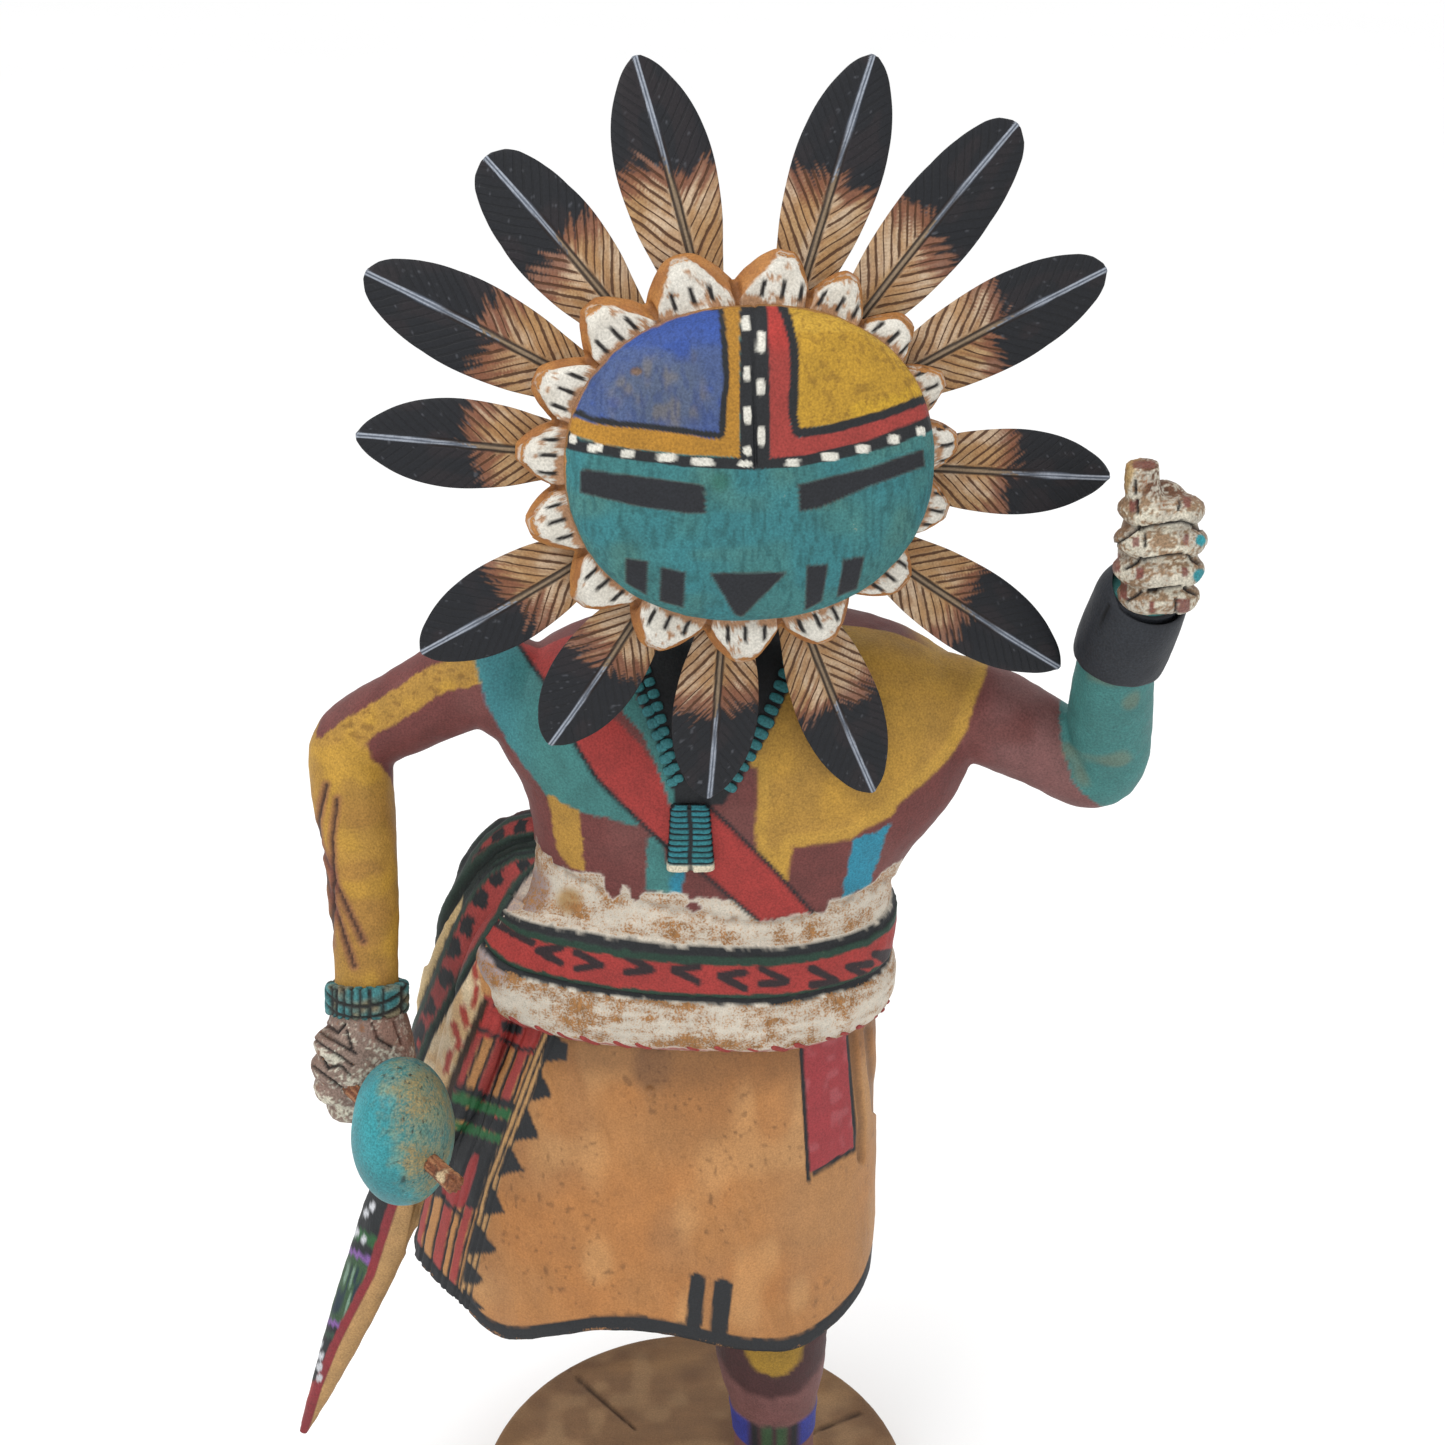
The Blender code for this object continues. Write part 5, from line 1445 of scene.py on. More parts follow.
wear(paint, 0.15 + 0.14 * lumps(places, 3, 127))
wear(paint, ground * (0.51 + 0.05 * lumps(places, 4, 132)))
gourd_finish = painted_wood("turquoise rattle paint", "#9a8a60", fleck=0.4, matte=0.5)
finish_piece(gourd, 0.12 + 0.1 * specks + 0.12 * lumps(places, 5, 128), paint, gourd_finish)
stand_in(gourd, "rattle_gourd")

bore = np.array(GOURD_MIDDLE) + STICK_OFFSET
start = bore - aim * (inside_gourd + STICK_HIDDEN)
end = bore + aim * (inside_gourd + STICK_REACH)
along = np.linspace(0, 1, 110)[:, None]
radius = (STICK_RADIUS - 0.12) * (1 - np.clip((along - 0.985) / 0.015, 0, 1) * 0.35)
path = np.concatenate((start + along * (end - start), radius, radius), axis=1)
stick = new_piece("reed", *skin(limb_rings(path, 48, (0, 0, 1))))
places, out = surface(stick)
from_middle = places - bore
reach = from_middle @ aim
side_x, side_y, side_z = (from_middle - reach[:, None] * aim).T
fibre = lumps(np.stack((reach * 0.12, side_z * 1.5, (side_x + side_y) * 1.05), axis=1), 0.6, 131)
paint = bare_paint(len(places), "#925c3f")
lay(paint, 0.75 * soft(fibre, 0.8), "#6c3d29")
lay(paint, 0.6 * soft(-fibre - 0.35, 0.4), "#bd8a60")
lay(paint, 0.7 * soft(lumps(places, 0.5, 133) - 0.45, 0.3), "#3f2a20")
# A pale chip shows on top near the gourd
lay(paint, 0.9 * soft(1.1 - np.hypot(reach - 17, side_z - 0.8) + 0.5 * fibre, 0.6), "#dcc39a")
cut_end = soft(reach - (inside_gourd + STICK_REACH - 0.5), 0.3)
lay(paint, cut_end * 0.7, "#8f5a3a")
reed_finish = painted_wood("split reed", "#c08a5a", (1, 1, 0), mottle=0.14, fleck=0.5, relief=0.3)
split_end = soft(reach - (inside_gourd + STICK_REACH - 2), 2)
finish_piece(stick, 0.14 + (0.24 + 0.3 * split_end) * fibre, paint, reed_finish)
stand_in(stick, "rattle_stick")

# Mask. Head, ruff and face are one carved piece that sits on the neck peg, turned a little to
# the doll's left and tipped down. Its own frame has the face towards -y and the crown towards
# +z. The back of the head is plain turquoise with a black edge.
MASK_PLACE = (9, -24, 277.3)
MASK_TURN = math.radians(8)
MASK_TIP = math.radians(8)
HEAD_ROWS = [(-2.4, 1), (9, 1), (18, 0.97), (26, 0.88), (30.6, 0.7), (32.3, 0.5), (32.9, 0.3)]
HEAD_HALVES = (27.9, 25.4)
MASK_TURQUOISE = "#417f7f"


def on_doll(spots):
    """Places in the mask's own frame turned and set where the mask sits on the doll."""
    x, y, z = np.asarray(spots, float).reshape(-1, 3).T
    tipped_y = y * math.cos(MASK_TIP) + z * math.sin(MASK_TIP)
    tipped_z = z * math.cos(MASK_TIP) - y * math.sin(MASK_TIP)
    turned_x = x * math.cos(MASK_TURN) - tipped_y * math.sin(MASK_TURN)
    turned_y = x * math.sin(MASK_TURN) + tipped_y * math.cos(MASK_TURN)
    return np.stack((turned_x, turned_y, tipped_z), axis=1) + MASK_PLACE


def upright_rings(rows, around, squareness):
    """Upright rings of the mask for rows of depth, half width and half height."""
    depth, half_width, half_height = np.array(rows).T[:, :, None]
    x, z = oval(even_turns(around), half_width, half_height, squareness)
    return np.stack((x, np.broadcast_to(depth, x.shape), z), axis=-1)


head_rows = smooth_rows([(y, HEAD_HALVES[0] * swell, HEAD_HALVES[1] * swell) for y, swell in HEAD_ROWS], 8)
own, faces = skin(upright_rings(head_rows, 130, 2))
head = new_piece("mask_head", on_doll(own), faces)
places, out = surface(head)
paint = bare_paint(len(places), MASK_TURQUOISE)
lay(paint, 0.5 * soft(lumps(places, 6, 141), 1), "#4a9290")
# A black line runs round the edge of the back, behind a bare rim
line = soft(own[:, 1] - 1.5 + 0.4 * lumps(places, 2, 142), 0.6)
line *= soft(4 - own[:, 1] + 0.4 * lumps(places, 2, 143), 0.6)
lay(paint, line, BLACK)
lay(paint, soft(1.5 - own[:, 1], 0.8), "#b98350")
wear(paint, 0.2 + 0.14 * lumps(places, 7, 144))
mask_finish = painted_wood("mask paint over cottonwood", "#c08a50", mottle=0.12)
finish_piece(head, 0.12 + 0.1 * lumps(places, 3, 145), paint, mask_finish)
stand_in(head, "mask")

# Ruff. The ring of corn husk round the face is carved from the same wood as sixteen blunt
# points, painted white on the front with three black strokes on each. The edges are bare.
RUFF_POINTS = [13, 31, 50, 69, 87, 107, 131, 157, 180, 205, 229, 254, 275, 296, 319, 345]
RUFF_HALVES = (37.85, 35.35)
RUFF_CUT = 5.6
RUFF_AROUND = 800
RUFF_BACK = -1.55
RUFF_SIDE = [
    (16, 0), (9, 0), (4, 0), (0.7, 0), (0.25, 0.25), (0, 0.8), (0, 1.6), (0.15, 2.3), (0.5, 2.9),
]
RUFF_FRONT = -6.7
HUSK_WHITE = "#ebe6da"
HUSK_WOOD = "#bd8247"
HUSK_STROKES = (-3.0, 0.1, 2.9)
HUSK_HALF = 6.2
HUSK_TIP = 0.9
FACE_HALVES = (31.25, 26.5)
FACE_MIDDLE = (1.3, 0, -0.3)

points = np.radians(np.array(RUFF_POINTS + [RUFF_POINTS[0] + 360], float))
angles = np.linspace(points[0], points[-1], RUFF_AROUND, endpoint=False)
husk = np.searchsorted(points, angles, side="right") - 1
gap_share = (angles - points[husk]) / (points[husk + 1] - points[husk])
straight = np.clip((np.abs(2 * gap_share - 1) - 0.03) / 0.9, 0, 1)
rise = 1 - (1 - straight) ** 1.45
rise = rise - 0.05 * np.exp(-(((1 - straight) / 0.1) ** 2))
reach_x = RUFF_HALVES[0] - RUFF_CUT * (1 - rise) + 0.25 * np.sin(9 * angles) * (rise < 0.9)
reach_z = RUFF_HALVES[1] - RUFF_CUT * (1 - rise)
# From the back round the edge to the front, each ring's distance in from the tips and its depth
flat = np.ones(RUFF_AROUND)
profile = [(inward, (RUFF_BACK - deep) * flat) for inward, deep in RUFF_SIDE]
front_edge = RUFF_FRONT + 0.8 + 0.8 * rise
for k in range(22):
    profile.append((0.9 + 0.55 * k, front_edge - 1.3 * math.sin(min(k / 4, 1) * math.pi / 2) - 0.03 * k))
rings = [
    np.stack((np.sin(angles) * (reach_x - inward), y, np.cos(angles) * (reach_z - inward)), axis=1)
    for inward, y in profile
]
own, faces = skin(np.array(rings))
ruff = new_piece("husk_ruff", on_doll(own), faces)
places, out = surface(ruff)
angle = np.arctan2(own[:, 0] / RUFF_HALVES[0], own[:, 2] / RUFF_HALVES[1]) % (2 * math.pi)
angle = np.where(angle < points[0], angle + 2 * math.pi, angle)
middle = (points[1:] + points[:-1]) / 2
nearest = np.argmin(np.abs(angle[:, None] - points[None, :]), axis=1)
from_tip = angle - points[nearest]
out_from_middle = np.hypot(own[:, 0], own[:, 2])
sideways = from_tip * out_from_middle
to_valley = np.min(np.abs(angle[:, None] - middle[None, :]), axis=1) * out_from_middle
edge_reach = np.interp(angle, angles, np.hypot(np.sin(angles) * reach_x, np.cos(angles) * reach_z))
to_edge = edge_reach - out_from_middle
face_x = (own[:, 0] - FACE_MIDDLE[0]) / FACE_HALVES[0]
face_z = (own[:, 2] - FACE_MIDDLE[2]) / FACE_HALVES[1]
from_face = np.hypot(face_x, face_z)
past_face = (from_face - 1) * out_from_middle / from_face
tip_reach = 1 / np.sqrt((np.sin(angle) / RUFF_HALVES[0]) ** 2 + (np.cos(angle) / RUFF_HALVES[1]) ** 2)
husk_height = past_face + tip_reach - out_from_middle
half_husk = HUSK_HALF * (1 - past_face / husk_height) + HUSK_TIP
shake = 0.35 * lumps(places, 1.1, 151) + 0.2 * lumps(places, 0.5, 152)
front = soft(-3.6 - own[:, 1], 0.8)
paint = bare_paint(len(places), HUSK_WOOD)
lay(paint, 0.6 * soft(lumps(places, 2.2, 153), 0.8), "#a2673a")
leaf = soft(half_husk - np.abs(sideways) + 0.8 * shake, 0.5)
white = front * soft(to_edge - 0.5 + 0.8 * shake, 0.45) * soft(to_valley - 0.5 + shake, 0.5) * leaf
rubbed = 0.9 * soft(1.6 - past_face, 1.5) + 0.35 * soft(1.2 - to_valley, 1) - 0.62
chips = soft(lumps(places, 1.3, 154) + 0.5 * lumps(places, 0.45, 155) + rubbed, 0.25)
lay(paint, white, HUSK_WHITE)
lay(paint, white * 0.35 * soft(lumps(places, 3, 156), 1), "#c9c0b0")
lay(paint, white * chips * 0.85, "#ad7540")
strokes = np.zeros(len(places))
for offset in HUSK_STROKES:
    wide = soft(0.36 - np.abs(sideways - offset + 0.25 * shake), 0.3)
    long = soft(past_face - 1.0 - 0.3 * shake, 0.5) * soft(3.9 + shake - past_face, 0.5)
    strokes = np.maximum(strokes, wide * long)
lay(paint, strokes * front, "#231f1e")
# Between the points the valleys are cut in and darkened brown with painted shade
valley = front * soft(0.45 - to_valley + 0.3 * shake, 0.4)
lay(paint, 0.7 * valley, "#7a4a26")
back = soft(out[:, 1] - 0.5, 0.4)
lay(paint, back, "#b98350")
wear(paint, 0.2 + 0.5 * white * soft(1.4 - to_edge, 0.8) + 0.2 * lumps(places, 2, 157))
depth = 0.5 * valley + 0.4 * front * (1 - leaf) + 0.2 * strokes * front
depth += 0.12 * chips * white + 0.1 * lumps(places, 1.5, 158)
ruff_finish = painted_wood("white husk paint over cottonwood", HUSK_WOOD, (1, 0, 1), mottle=0.08,
                           fleck=0.25, relief=0.16)
finish_piece(ruff, depth, paint, ruff_finish)
stand_in(ruff, "mask")

# Face. The domed front of the mask is painted in a blue and a yellow quarter over a turquoise
# lower half, parted by black bands with white dashes. Eyes, mouth and cheek bars are inked on.
FACE_DEPTH = 8.5
BLUE_QUARTER = [
    (560, 412), (556, 380), (580, 340), (610, 315), (650, 295), (718, 290), (722, 319), (725, 340),
    (727, 377), (725, 401), (723, 432), (722, 438), (711, 439), (690, 435), (653, 430), (622, 427),
    (592, 423),
]
OCHRE_BAND = [
    (722, 300), (740, 300), (740, 458), (690, 455), (640, 450), (600, 444), (575, 436), (560, 426),
    (564, 408), (576, 405), (592, 415), (690, 425), (712, 430), (716, 400),
]
MIDDLE_BAND = [(740, 300), (767, 300), (769, 345), (770, 400), (770, 462), (740, 462)]
BLUE_EDGE = [
    (719, 296), (722, 319), (725, 350), (727, 377), (724, 401), (722, 436), (690, 432), (653, 427),
    (622, 424), (592, 419), (564, 407),
]
BLUE_RIM = [(566, 405), (575, 390), (592, 366), (610, 346), (630, 330), (655, 317), (680, 309), (718, 306)]
MIDDLE_GROOVE = [(754, 300), (754.5, 380), (756, 466)]
RED_BAND = [
    (764, 300), (784, 300), (790, 330), (792, 380), (791, 425), (797, 438), (840, 430), (883, 416),
    (932, 398), (938, 415), (925, 424), (890, 436), (850, 449), (800, 459), (770, 459), (769, 400),
    (768, 340),
]
YELLOW_LINE = [
    (780, 300), (788, 320), (793, 340), (795, 362), (794, 389), (793, 414), (797, 433), (821, 431),
    (843, 426), (883, 415), (930, 397),
]
YELLOW_QUARTER = [
    (784, 296), (830, 296), (870, 310), (905, 335), (925, 365), (938, 390), (925, 397), (883, 412),
    (843, 423), (797, 430), (794, 401), (795, 368), (792, 337), (786, 316),
]
YELLOW_GLEAM = [(860, 412), (905, 400), (930, 385)]
YELLOW_BEVEL_HIGHLIGHT = [
    (788, 290), (840, 290), (900, 320), (950, 380), (925, 392), (905, 370), (880, 345), (855, 331),
    (795, 332),
]
CROSS_BAND = [
    (560, 420), (570, 432), (580, 440), (622, 448), (684, 456), (739, 458), (775, 458), (806, 455),
    (867, 441), (937, 413), (940, 426), (898, 445), (837, 460), (791, 468), (745, 470), (684, 467),
    (622, 459), (570, 450), (556, 442),
]
WHITE_DASHES = [
    (572.7, 439, 4, 4.5), (595, 448, 7.7, 4), (627.8, 454, 7, 4), (666, 457.7, 10, 4.4),
    (702.4, 462, 11, 4.2), (745.6, 464, 7, 3.2), (793, 463, 7, 4), (830, 456.8, 8, 4.2),
    (863, 449, 6.6, 4.5), (894.4, 439.4, 5.7, 4.8), (921.2, 431, 4.4, 4.2), (746, 323, 4.2, 7.5),
    (747, 373.5, 3.6, 7.5), (747.4, 415, 3.8, 8), (747.5, 451, 4.2, 4), (761, 341.5, 4.2, 10.5),
    (761, 387, 4, 8), (761.5, 436.5, 3.8, 9.5),
]
EYES = [
    [(580.5, 471), (587, 470), (699, 485), (704.5, 487), (705, 513), (687, 513), (638, 506), (580, 492.5)],
    [(799, 485), (806, 483.5), (867, 469), (923, 450), (925, 466), (867, 487), (821, 507), (800.5, 511)],
]
MOUTH = [(711, 574), (786, 573), (742, 617), (735.5, 615)]
CHEEK_BARS = [
    [(626, 559), (647.5, 562), (646, 595), (625.5, 583)], [(661, 568), (685, 573), (683, 608), (660, 601)],
    [(807.5, 566.5), (827.5, 565), (822, 601), (805.5, 610)],
    [(844, 560.5), (864, 557), (857, 589), (838, 596.5)],
]

rows = []
for step in np.linspace(0, 1, 84)[:-1]:
    swell = math.cos(step * math.pi / 2)
    deep = (FACE_DEPTH + 1.45) * (1 - swell**2.6) ** (1 / 3.4)
    rows.append((RUFF_FRONT + 1.5 - deep, FACE_HALVES[0] * swell, FACE_HALVES[1] * swell))
own, faces = skin(upright_rings(rows, 470, 2.2))
own = own + FACE_MIDDLE
face = new_piece("sun_face", on_doll(own), faces)
places, out = surface(face)
seen = in_photo(places)
px, py = seen.T
shake = 1.1 * lumps(places, 1.5, 161) + 0.6 * lumps(places, 0.6, 162)
streak = lumps(places * (1, 1, 0.25), 0.5, 163)
paint = bare_paint(len(places), MASK_TURQUOISE)
lay(paint, 0.6 * soft(lumps(places, 5, 164) - 0.1, 0.9), "#34808a")
lay(paint, 0.5 * soft(lumps(places * (0.6, 1, 1), 4, 165) - 0.3, 0.6), "#52847a")
lay(paint, 0.6 * soft(streak - 0.25, 0.5), "#2b6062")
lay(paint, 0.6 * soft(9 - np.hypot(px - 720, py - 482), 10), "#2c6a58")
lay(paint, soft(inside(seen, OCHRE_BAND) + 0.5 * shake, 1.6), "#b8842f")
blue = soft(inside(seen, BLUE_QUARTER) + 0.4 * shake, 1.6)
lay(paint, blue, "#38539a")
off = np.hypot((px - 665) / 42, (py - 392) / 28)
grey = soft(1.2 - off + 0.4 * lumps(places, 2.6, 166), 0.9)
lay(paint, blue * grey * 0.75, "#5b6478")
level = soft(1.2 - np.abs(py - 385) / 40, 0.8)
lay(paint, blue * 0.5 * soft(0.4 + lumps(places, 2.2, 167), 0.5) * level, "#5c6a80")
# Towards the top the blue is painted brighter, a painted highlight
lay(paint, blue * 0.6 * soft(346 - py + 4 * shake, 14), "#3858a8")
lay(paint, blue * grey * 0.45 * soft(lumps(places * (1, 1, 0.5), 1.5, 171) - 0.15, 0.6), "#857a69")
lay(paint, blue * 0.4 * soft(streak - 0.3, 0.5), "#2d4279")
lay(paint, soft(3.1 - off_line(seen, BLUE_EDGE) + 0.6 * shake, 1.6), BLACK)
lay(paint, blue * soft(2.2 - off_line(seen, BLUE_RIM) + 1.2 * shake, 1.8), BLACK)
knot = soft(1 - np.hypot((px - 636) / 6, (py - 371) / 4), 0.5)
lay(paint, knot * 0.8, "#8a6a4a")
on_red = inside(seen, RED_BAND)
lay(paint, soft(on_red + 0.4 * shake, 1.6), "#a3403a")
# The red too is painted brighter towards the top, a painted highlight
lay(paint, soft(on_red, 2) * soft(350 - py, 30) * 0.6, "#bb3a34")
yellow = soft(inside(seen, YELLOW_QUARTER) + 0.4 * shake, 1.6)
lay(paint, yellow, "#c19530")
# The yellow is painted brighter on its upper bevel and along a gleam near its lower edge, painted
# highlights
lay(paint, yellow * soft(inside(seen, YELLOW_BEVEL_HIGHLIGHT) + 2 * shake, 5) * 0.7, "#d3a83f")
lay(paint, yellow * soft(9 - off_line(seen, YELLOW_GLEAM) + 2 * shake, 6) * 0.7, "#d2a62e")
lay(paint, yellow * 0.55 * soft(streak - 0.35, 0.4), "#8f6a26")
lay(paint, soft(4.6 - off_line(seen, YELLOW_LINE) + 0.5 * shake, 1.6), BLACK)
for outline in (MIDDLE_BAND, CROSS_BAND):
    lay(paint, soft(inside(seen, outline) + 0.4 * shake, 1.6), BLACK)
raised = np.zeros(len(places))
for x, y, half_width, half_height in WHITE_DASHES:
    gap = (np.abs(px - x) / half_width) ** 5 + (np.abs(py - y) / half_height) ** 5
    dash = soft(1 - gap ** 0.2 + 0.1 * shake, 0.25)
    lay(paint, dash, "#e9e6da")
    raised += dash
for outline in EYES + [MOUTH] + CHEEK_BARS:
    reach = inside(seen, outline)
    lay(paint, soft(reach + 0.4 * shake, 1.4), "#27292e")
    raised += 0.5 * soft(reach, 2)
    lay(paint, 0.5 * soft(0.9 - np.abs(reach + 0.4), 1), "#4d4038")
groove = soft(1.5 - off_line(seen, MIDDLE_GROOVE), 2)
rim = soft(1.6 + own[:, 1] - RUFF_FRONT + 0.5 * lumps(places, 1.4, 168), 0.6)
lay(paint, rim * 0.85, "#a97845")
wear(paint, 0.22 + 0.12 * lumps(places, 6, 169) + 0.25 * rim)
depth = 0.15 + 0.4 * groove - 0.1 * np.clip(raised, 0, 1) + 0.35 * knot
depth += 0.1 * lumps(places, 2.5, 170) + 0.03 * streak
finish_piece(face, depth, paint, mask_finish)
stand_in(face, "mask")

# Feathers. Thirteen leaf shapes split from thin cottonwood, each pegged in behind the ruff. The
# barbs are cut with a knife and stained brown, the outer half is black and the quill is grey.
# Each row is the angle from straight up, the length, the half width, how blunt the tip is, and
# how far along the black starts on the left and on the right of the quill.
FEATHERS = [
    (347.5, 38.0, 8.2, 0.1, 0.56, 0.5), (21.3, 40.5, 7.8, 0.2, 0.48, 0.5),
    (43.1, 44.1, 7.6, 0.55, 0.5, 0.44), (66.3, 43.4, 7.7, 0.4, 0.53, 0.46),
    (96.1, 39.6, 7.6, 0.1, 0.52, 0.5), (125.2, 44.8, 7.7, 0.1, 0.46, 0.5),
    (158.7, 40.0, 7.7, 0.2, 0.5, 0.52), (185.3, 34.3, 7.7, 0.2, 0.46, 0.5),
    (213.8, 32.2, 7.7, 0.2, 0.44, 0.42), (239.2, 35.5, 7.7, 0.2, 0.46, 0.5),
    (274.6, 35.2, 7.6, 0.1, 0.42, 0.48), (297.8, 39.5, 7.7, 0.4, 0.42, 0.48),
    (321.5, 35.0, 7.8, 0.6, 0.44, 0.52),
]
FEATHER_ROOT = 28.6
FEATHER_LEAF = [
    (0, 0.56), (0.14, 0.72), (0.3, 0.9), (0.5, 1), (0.66, 0.95), (0.8, 0.76), (0.92, 0.44), (0.975, 0.22),
    (1, 0.07),
]
BLUNT_TIP = [(0.66, 0), (0.8, 0.12), (0.92, 0.3), (0.97, 0.3), (1, 0.12)]
FEATHER_THIN = 1.15
FEATHER_SWEEP = math.tan(math.radians(10))
BARB_STEP = 2.15
BARB_SLOPE = 1.2
BARB_STAIN = "#452a17"
QUILL_HALF = 0.42
FEATHER_TAN = "#bd9a70"
FEATHER_PALE = "#d3ba9e"
FEATHER_BLACK = "#1e2025"
RUST = "#794434"


def barbed(finish):
    """Adds knife cuts for the barbs to a finish, crisp lines where the barb count is whole."""
    tree = finish.node_tree
    shader = tree.nodes["Principled BSDF"]
    barb = add(tree, "Attribute", attribute_name="barb")
    count, strong, dark = add(tree, "SeparateXYZ", {0: barb.outputs["Vector"]}).outputs
    nearest = add(tree, "Math", {0: count}, operation="ROUND")
    between = add(tree, "Math", {0: count, 1: nearest.outputs[0]}, operation="SUBTRACT")
    away = add(tree, "Math", {0: between.outputs[0]}, operation="ABSOLUTE")
    own_width = add(tree, "TexWhiteNoise", {"W": nearest.outputs[0]}, noise_dimensions="1D")
    width = add(tree, "MapRange", {"Value": own_width.outputs["Value"], "To Min": 0.05, "To Max": 0.15})
    place = add(tree, "TexCoord").outputs["Object"]
    ragged = add(tree, "TexNoise", {"Vector": place, "Scale": 1 / (1.1 * MM), "Detail": 2.0})
    shaky = add(tree, "Math", {0: width.outputs[0], 1: ragged.outputs[0]}, operation="MULTIPLY")
    over = add(tree, "Math", {0: shaky.outputs[0], 1: 1.7, 2: 0.02}, operation="MULTIPLY_ADD")
    edge = add(tree, "Math", {0: away.outputs[0], 1: over.outputs[0]}, operation="DIVIDE")
    line = add(tree, "MapRange", {"Value": edge.outputs[0], "From Min": 0.75, "From Max": 1.5,
                                  "To Min": 1.0, "To Max": 0.0})
    inked = add(tree, "Math", {0: line.outputs[0], 1: strong}, operation="MULTIPLY")
    tone = add(tree, "MixRGB", {"Fac": dark, "Color1": (*linear(BARB_STAIN), 1),
                                "Color2": (0.006, 0.0065, 0.008, 1)})
    painted = shader.inputs["Base Color"].links[0].from_socket
    stained = add(tree, "MixRGB", {"Fac": inked.outputs[0], "Color1": painted, "Color2": tone.outputs[0]})
    tree.links.new(stained.outputs[0], shader.inputs["Base Color"])
    smooth = shader.inputs["Normal"].links[0].from_socket
    carved = add(tree, "Bump", {"Height": inked.outputs[0], "Normal": smooth, "Strength": 0.8,
                                "Distance": 0.18 * MM},
                 invert=True)
    tree.links.new(carved.outputs[0], shader.inputs["Normal"])
    return finish


feather_finish = barbed(painted_wood(
    "stained and painted feather wood", "#b98a56", (0, 0, 1), mottle=0.08, fleck=0.22, relief=0.08,
))
along = np.linspace(0, 1, 104)
leaf = smooth_rows(FEATHER_LEAF, 10)
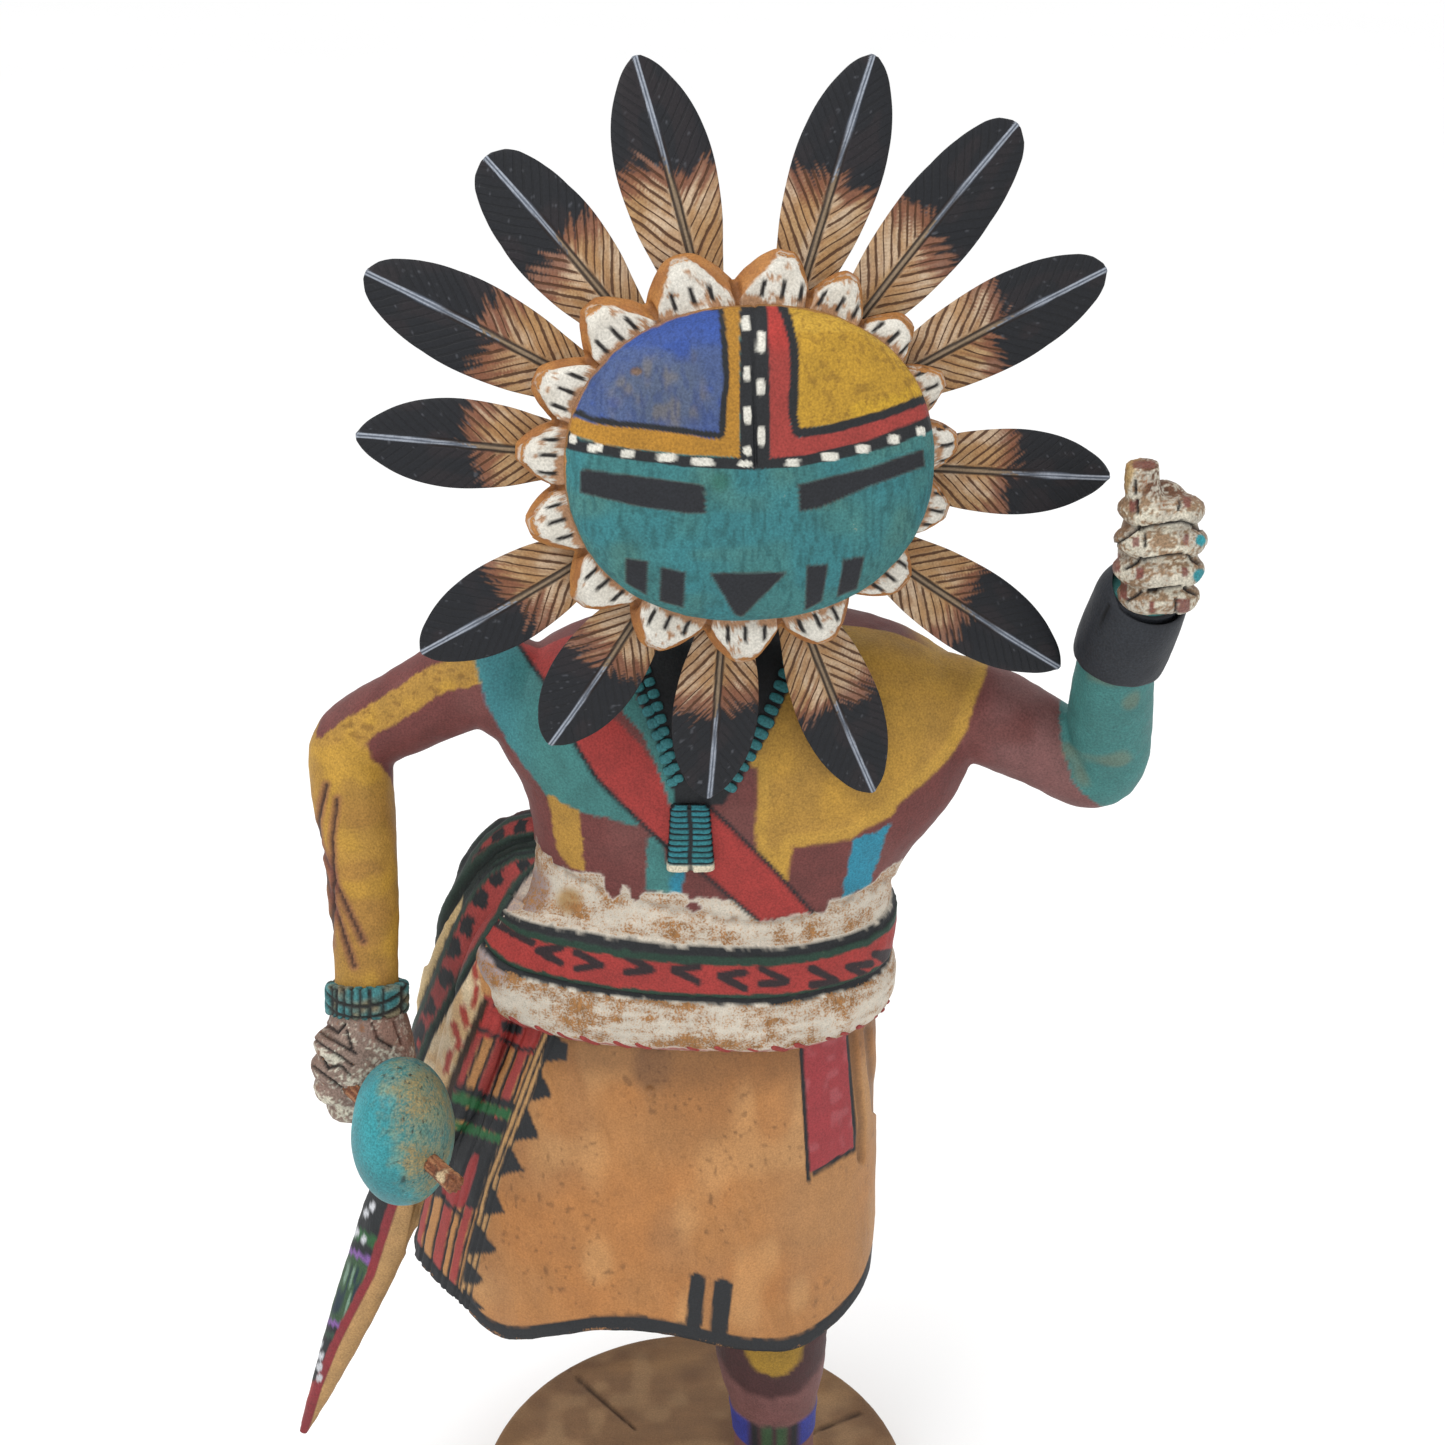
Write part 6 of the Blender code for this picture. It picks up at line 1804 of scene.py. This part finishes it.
# The mesh is closest along the quill, where the finest lines are
even = np.linspace(-1, 1, 52)
front_turns = math.pi / 2 * (3 + even * (0.45 + 0.55 * even**2))
turns = np.concatenate((front_turns, np.linspace(0, math.pi, 13)[1:-1]))
for number, (turn, length, half, blunt, black_left, black_right) in enumerate(FEATHERS, 1):
    wide = np.interp(along, leaf[:, 0], leaf[:, 1]) + blunt * np.interp(along, *np.array(BLUNT_TIP).T)
    wide = wide[:, None] * half
    thin = (FEATHER_THIN * (1 - 0.45 * along))[:, None]
    across = np.cos(turns) * wide
    deep = np.sign(np.sin(turns)) * np.abs(np.sin(turns)) ** 0.8 * thin
    deep = deep + (along * length * FEATHER_SWEEP)[:, None]
    reach = np.broadcast_to(FEATHER_ROOT + along[:, None] * length, across.shape)
    own, faces = skin(np.stack((across, deep, reach), axis=-1))
    c = math.cos(math.radians(turn))
    s = math.sin(math.radians(turn))
    x, y, z = own.T
    placed = on_doll(np.stack((x * c + z * s, y, z * c - x * s), axis=1))
    feather = new_piece(f"feather_{number:02d}_carved", placed, faces)
    places, out = surface(feather)
    v = own[:, 2] - FEATHER_ROOT
    seed = 200 + 10 * number
    flat = np.stack((own[:, 0], v), axis=1)
    bend = own[:, 0] - 0.4 * np.sin(v / length * 3 + number)
    right = soft(bend, 0.3)
    from_quill = np.abs(bend)
    front = soft(-(own[:, 1] - v * FEATHER_SWEEP) + 0.15, 0.3)
    barb_way = v - BARB_SLOPE * from_quill
    jag = lumps(np.stack((barb_way * 1.5, v * 0.13 + right * 50), axis=1), 0.9, seed + 2)
    finer = lumps(np.stack((barb_way * 2.6, v * 0.2 + right * 50), axis=1), 0.7, seed + 8)
    wander = lumps(flat, 3, seed)
    paint = bare_paint(len(places), FEATHER_TAN)
    paler_side = 0.7 * (right - 0.5) * math.cos(2.2 * number)
    lay(paint, 0.85 * soft(lumps(flat * (1, 0.35), 3, seed + 3) + paler_side, 0.9), FEATHER_PALE)
    lay(paint, 0.45 * soft(lumps(flat, 2.2, seed + 4) - 0.2, 0.6), "#aa7c4c")
    lay(paint, 0.55 * soft(jag - 0.1, 0.6), "#ad7f4c")
    lay(paint, 0.4 * soft(finer - 0.25, 0.4), "#8a5c34")
    start = (black_left + (black_right - black_left) * right) * length + 1.1 * wander - 0.1 * from_quill
    rusty = soft(v - start + 3.0 + 2.2 * jag + 0.8 * finer, 3)
    lay(paint, rusty * 0.8, RUST)
    dark = soft(v - start - 0.6 + 2.0 * jag + 1.2 * finer, 1.1)
    lay(paint, dark, FEATHER_BLACK)
    lay(paint, dark * soft(lumps(flat * (1, 0.5), 2.4, seed + 5) - 0.35, 0.5) * 0.25, "#3a2d2e")
    specks = dark * soft(lumps(places, 0.6, seed + 9) - 0.8, 0.1)
    lay(paint, specks * 0.3, "#7d8088")
    share = v / length
    quill = soft(QUILL_HALF + 0.5 * share * (1 - share) + 0.12 * wander - from_quill, 0.22)
    lay(paint, quill * dark, "#565e6b")
    light_lines = soft(0.13 - np.abs(from_quill - 0.27), 0.14)
    lay(paint, dark * light_lines * soft(0.9 + lumps(flat * (3, 0.8), 0.9, seed + 6), 0.7), "#aab1bd")
    lay(paint, quill * (1 - dark), "#947f66")
    grooves = soft(0.24 - np.abs(from_quill - QUILL_HALF - 0.08), 0.16) * soft(0.66 - share, 0.12)
    lay(paint, grooves * 0.9, "#251b17")
    behind = linear("#a9825a") * (1 - dark[:, None]) + linear(FEATHER_BLACK) * dark[:, None]
    paint[:, :3] = paint[:, :3] * front[:, None] + (1 - front[:, None]) * behind
    wear(paint, 0.2 + 0.12 * lumps(places, 3, seed + 7))
    # For each place which barb it is on, how strongly its cut shows and whether it lies in the black
    count = barb_way / BARB_STEP + 60 * (right > 0.5) + 0.12 * wander
    strong = 0.95 * front * soft(from_quill - 1.0, 0.5) * soft(wander + 1.1, 0.5) * (1 - 0.5 * dark)
    barb = np.stack((count, strong, dark), axis=1)
    feather.data.attributes.new("barb", "FLOAT_VECTOR", "POINT").data.foreach_set("vector", barb.ravel())
    depth = front * (0.22 * grooves - 0.12 * quill) + 0.05
    finish_piece(feather, depth, paint, feather_finish)
    stand_in(feather, f"feather_{number:02d}")

# Studio. A plain pale table under soft even light, with a broad lamp above and to the left.
TABLE_SPAN = 400
TABLE_DROP = 0.0002
LAMP_AIM = 0.17
bpy.ops.mesh.primitive_plane_add(size=TABLE_SPAN, location=(0, 0, -TABLE_DROP))
table = bpy.context.object
table.name = "table"
table_top = bpy.data.materials.new("white paper")
table_top.use_nodes = True
tree = table_top.node_tree
fibres = add(tree, "TexNoise", {"Scale": 900.0})
tone = add(tree, "MapRange", {"Value": fibres.outputs[0], "To Min": 0.97, "To Max": 0.99})
tree.links.new(tone.outputs[0], tree.nodes["Principled BSDF"].inputs["Base Color"])
tree.nodes["Principled BSDF"].inputs["Roughness"].default_value = 0.9
tree.nodes["Principled BSDF"].inputs["Specular IOR Level"].default_value = 0.1
table.data.materials.append(table_top)

world = bpy.data.worlds.new("studio")
world.use_nodes = True
world.node_tree.nodes["Background"].inputs["Color"].default_value = (1, 1, 1, 1)
world.node_tree.nodes["Background"].inputs["Strength"].default_value = 1.02
bpy.context.scene.world = world
for name, place, size, power in (
    ("overhead lamp", (-0.35, -0.35, 0.95), 0.6, 4.2),
    ("front lamp", (0.5, -1.0, 0.45), 0.8, 1.2),
):
    lamp = bpy.data.lights.new(name, "AREA")
    lamp.size = size
    lamp.energy = power
    stand = bpy.data.objects.new(name, lamp)
    stand.location = place
    aim = table.location.copy()
    aim.z = LAMP_AIM
    stand.rotation_euler = (stand.location - aim).to_track_quat("Z", "Y").to_euler()
    bpy.context.scene.collection.objects.link(stand)

bpy.context.scene.view_settings.view_transform = "Standard"
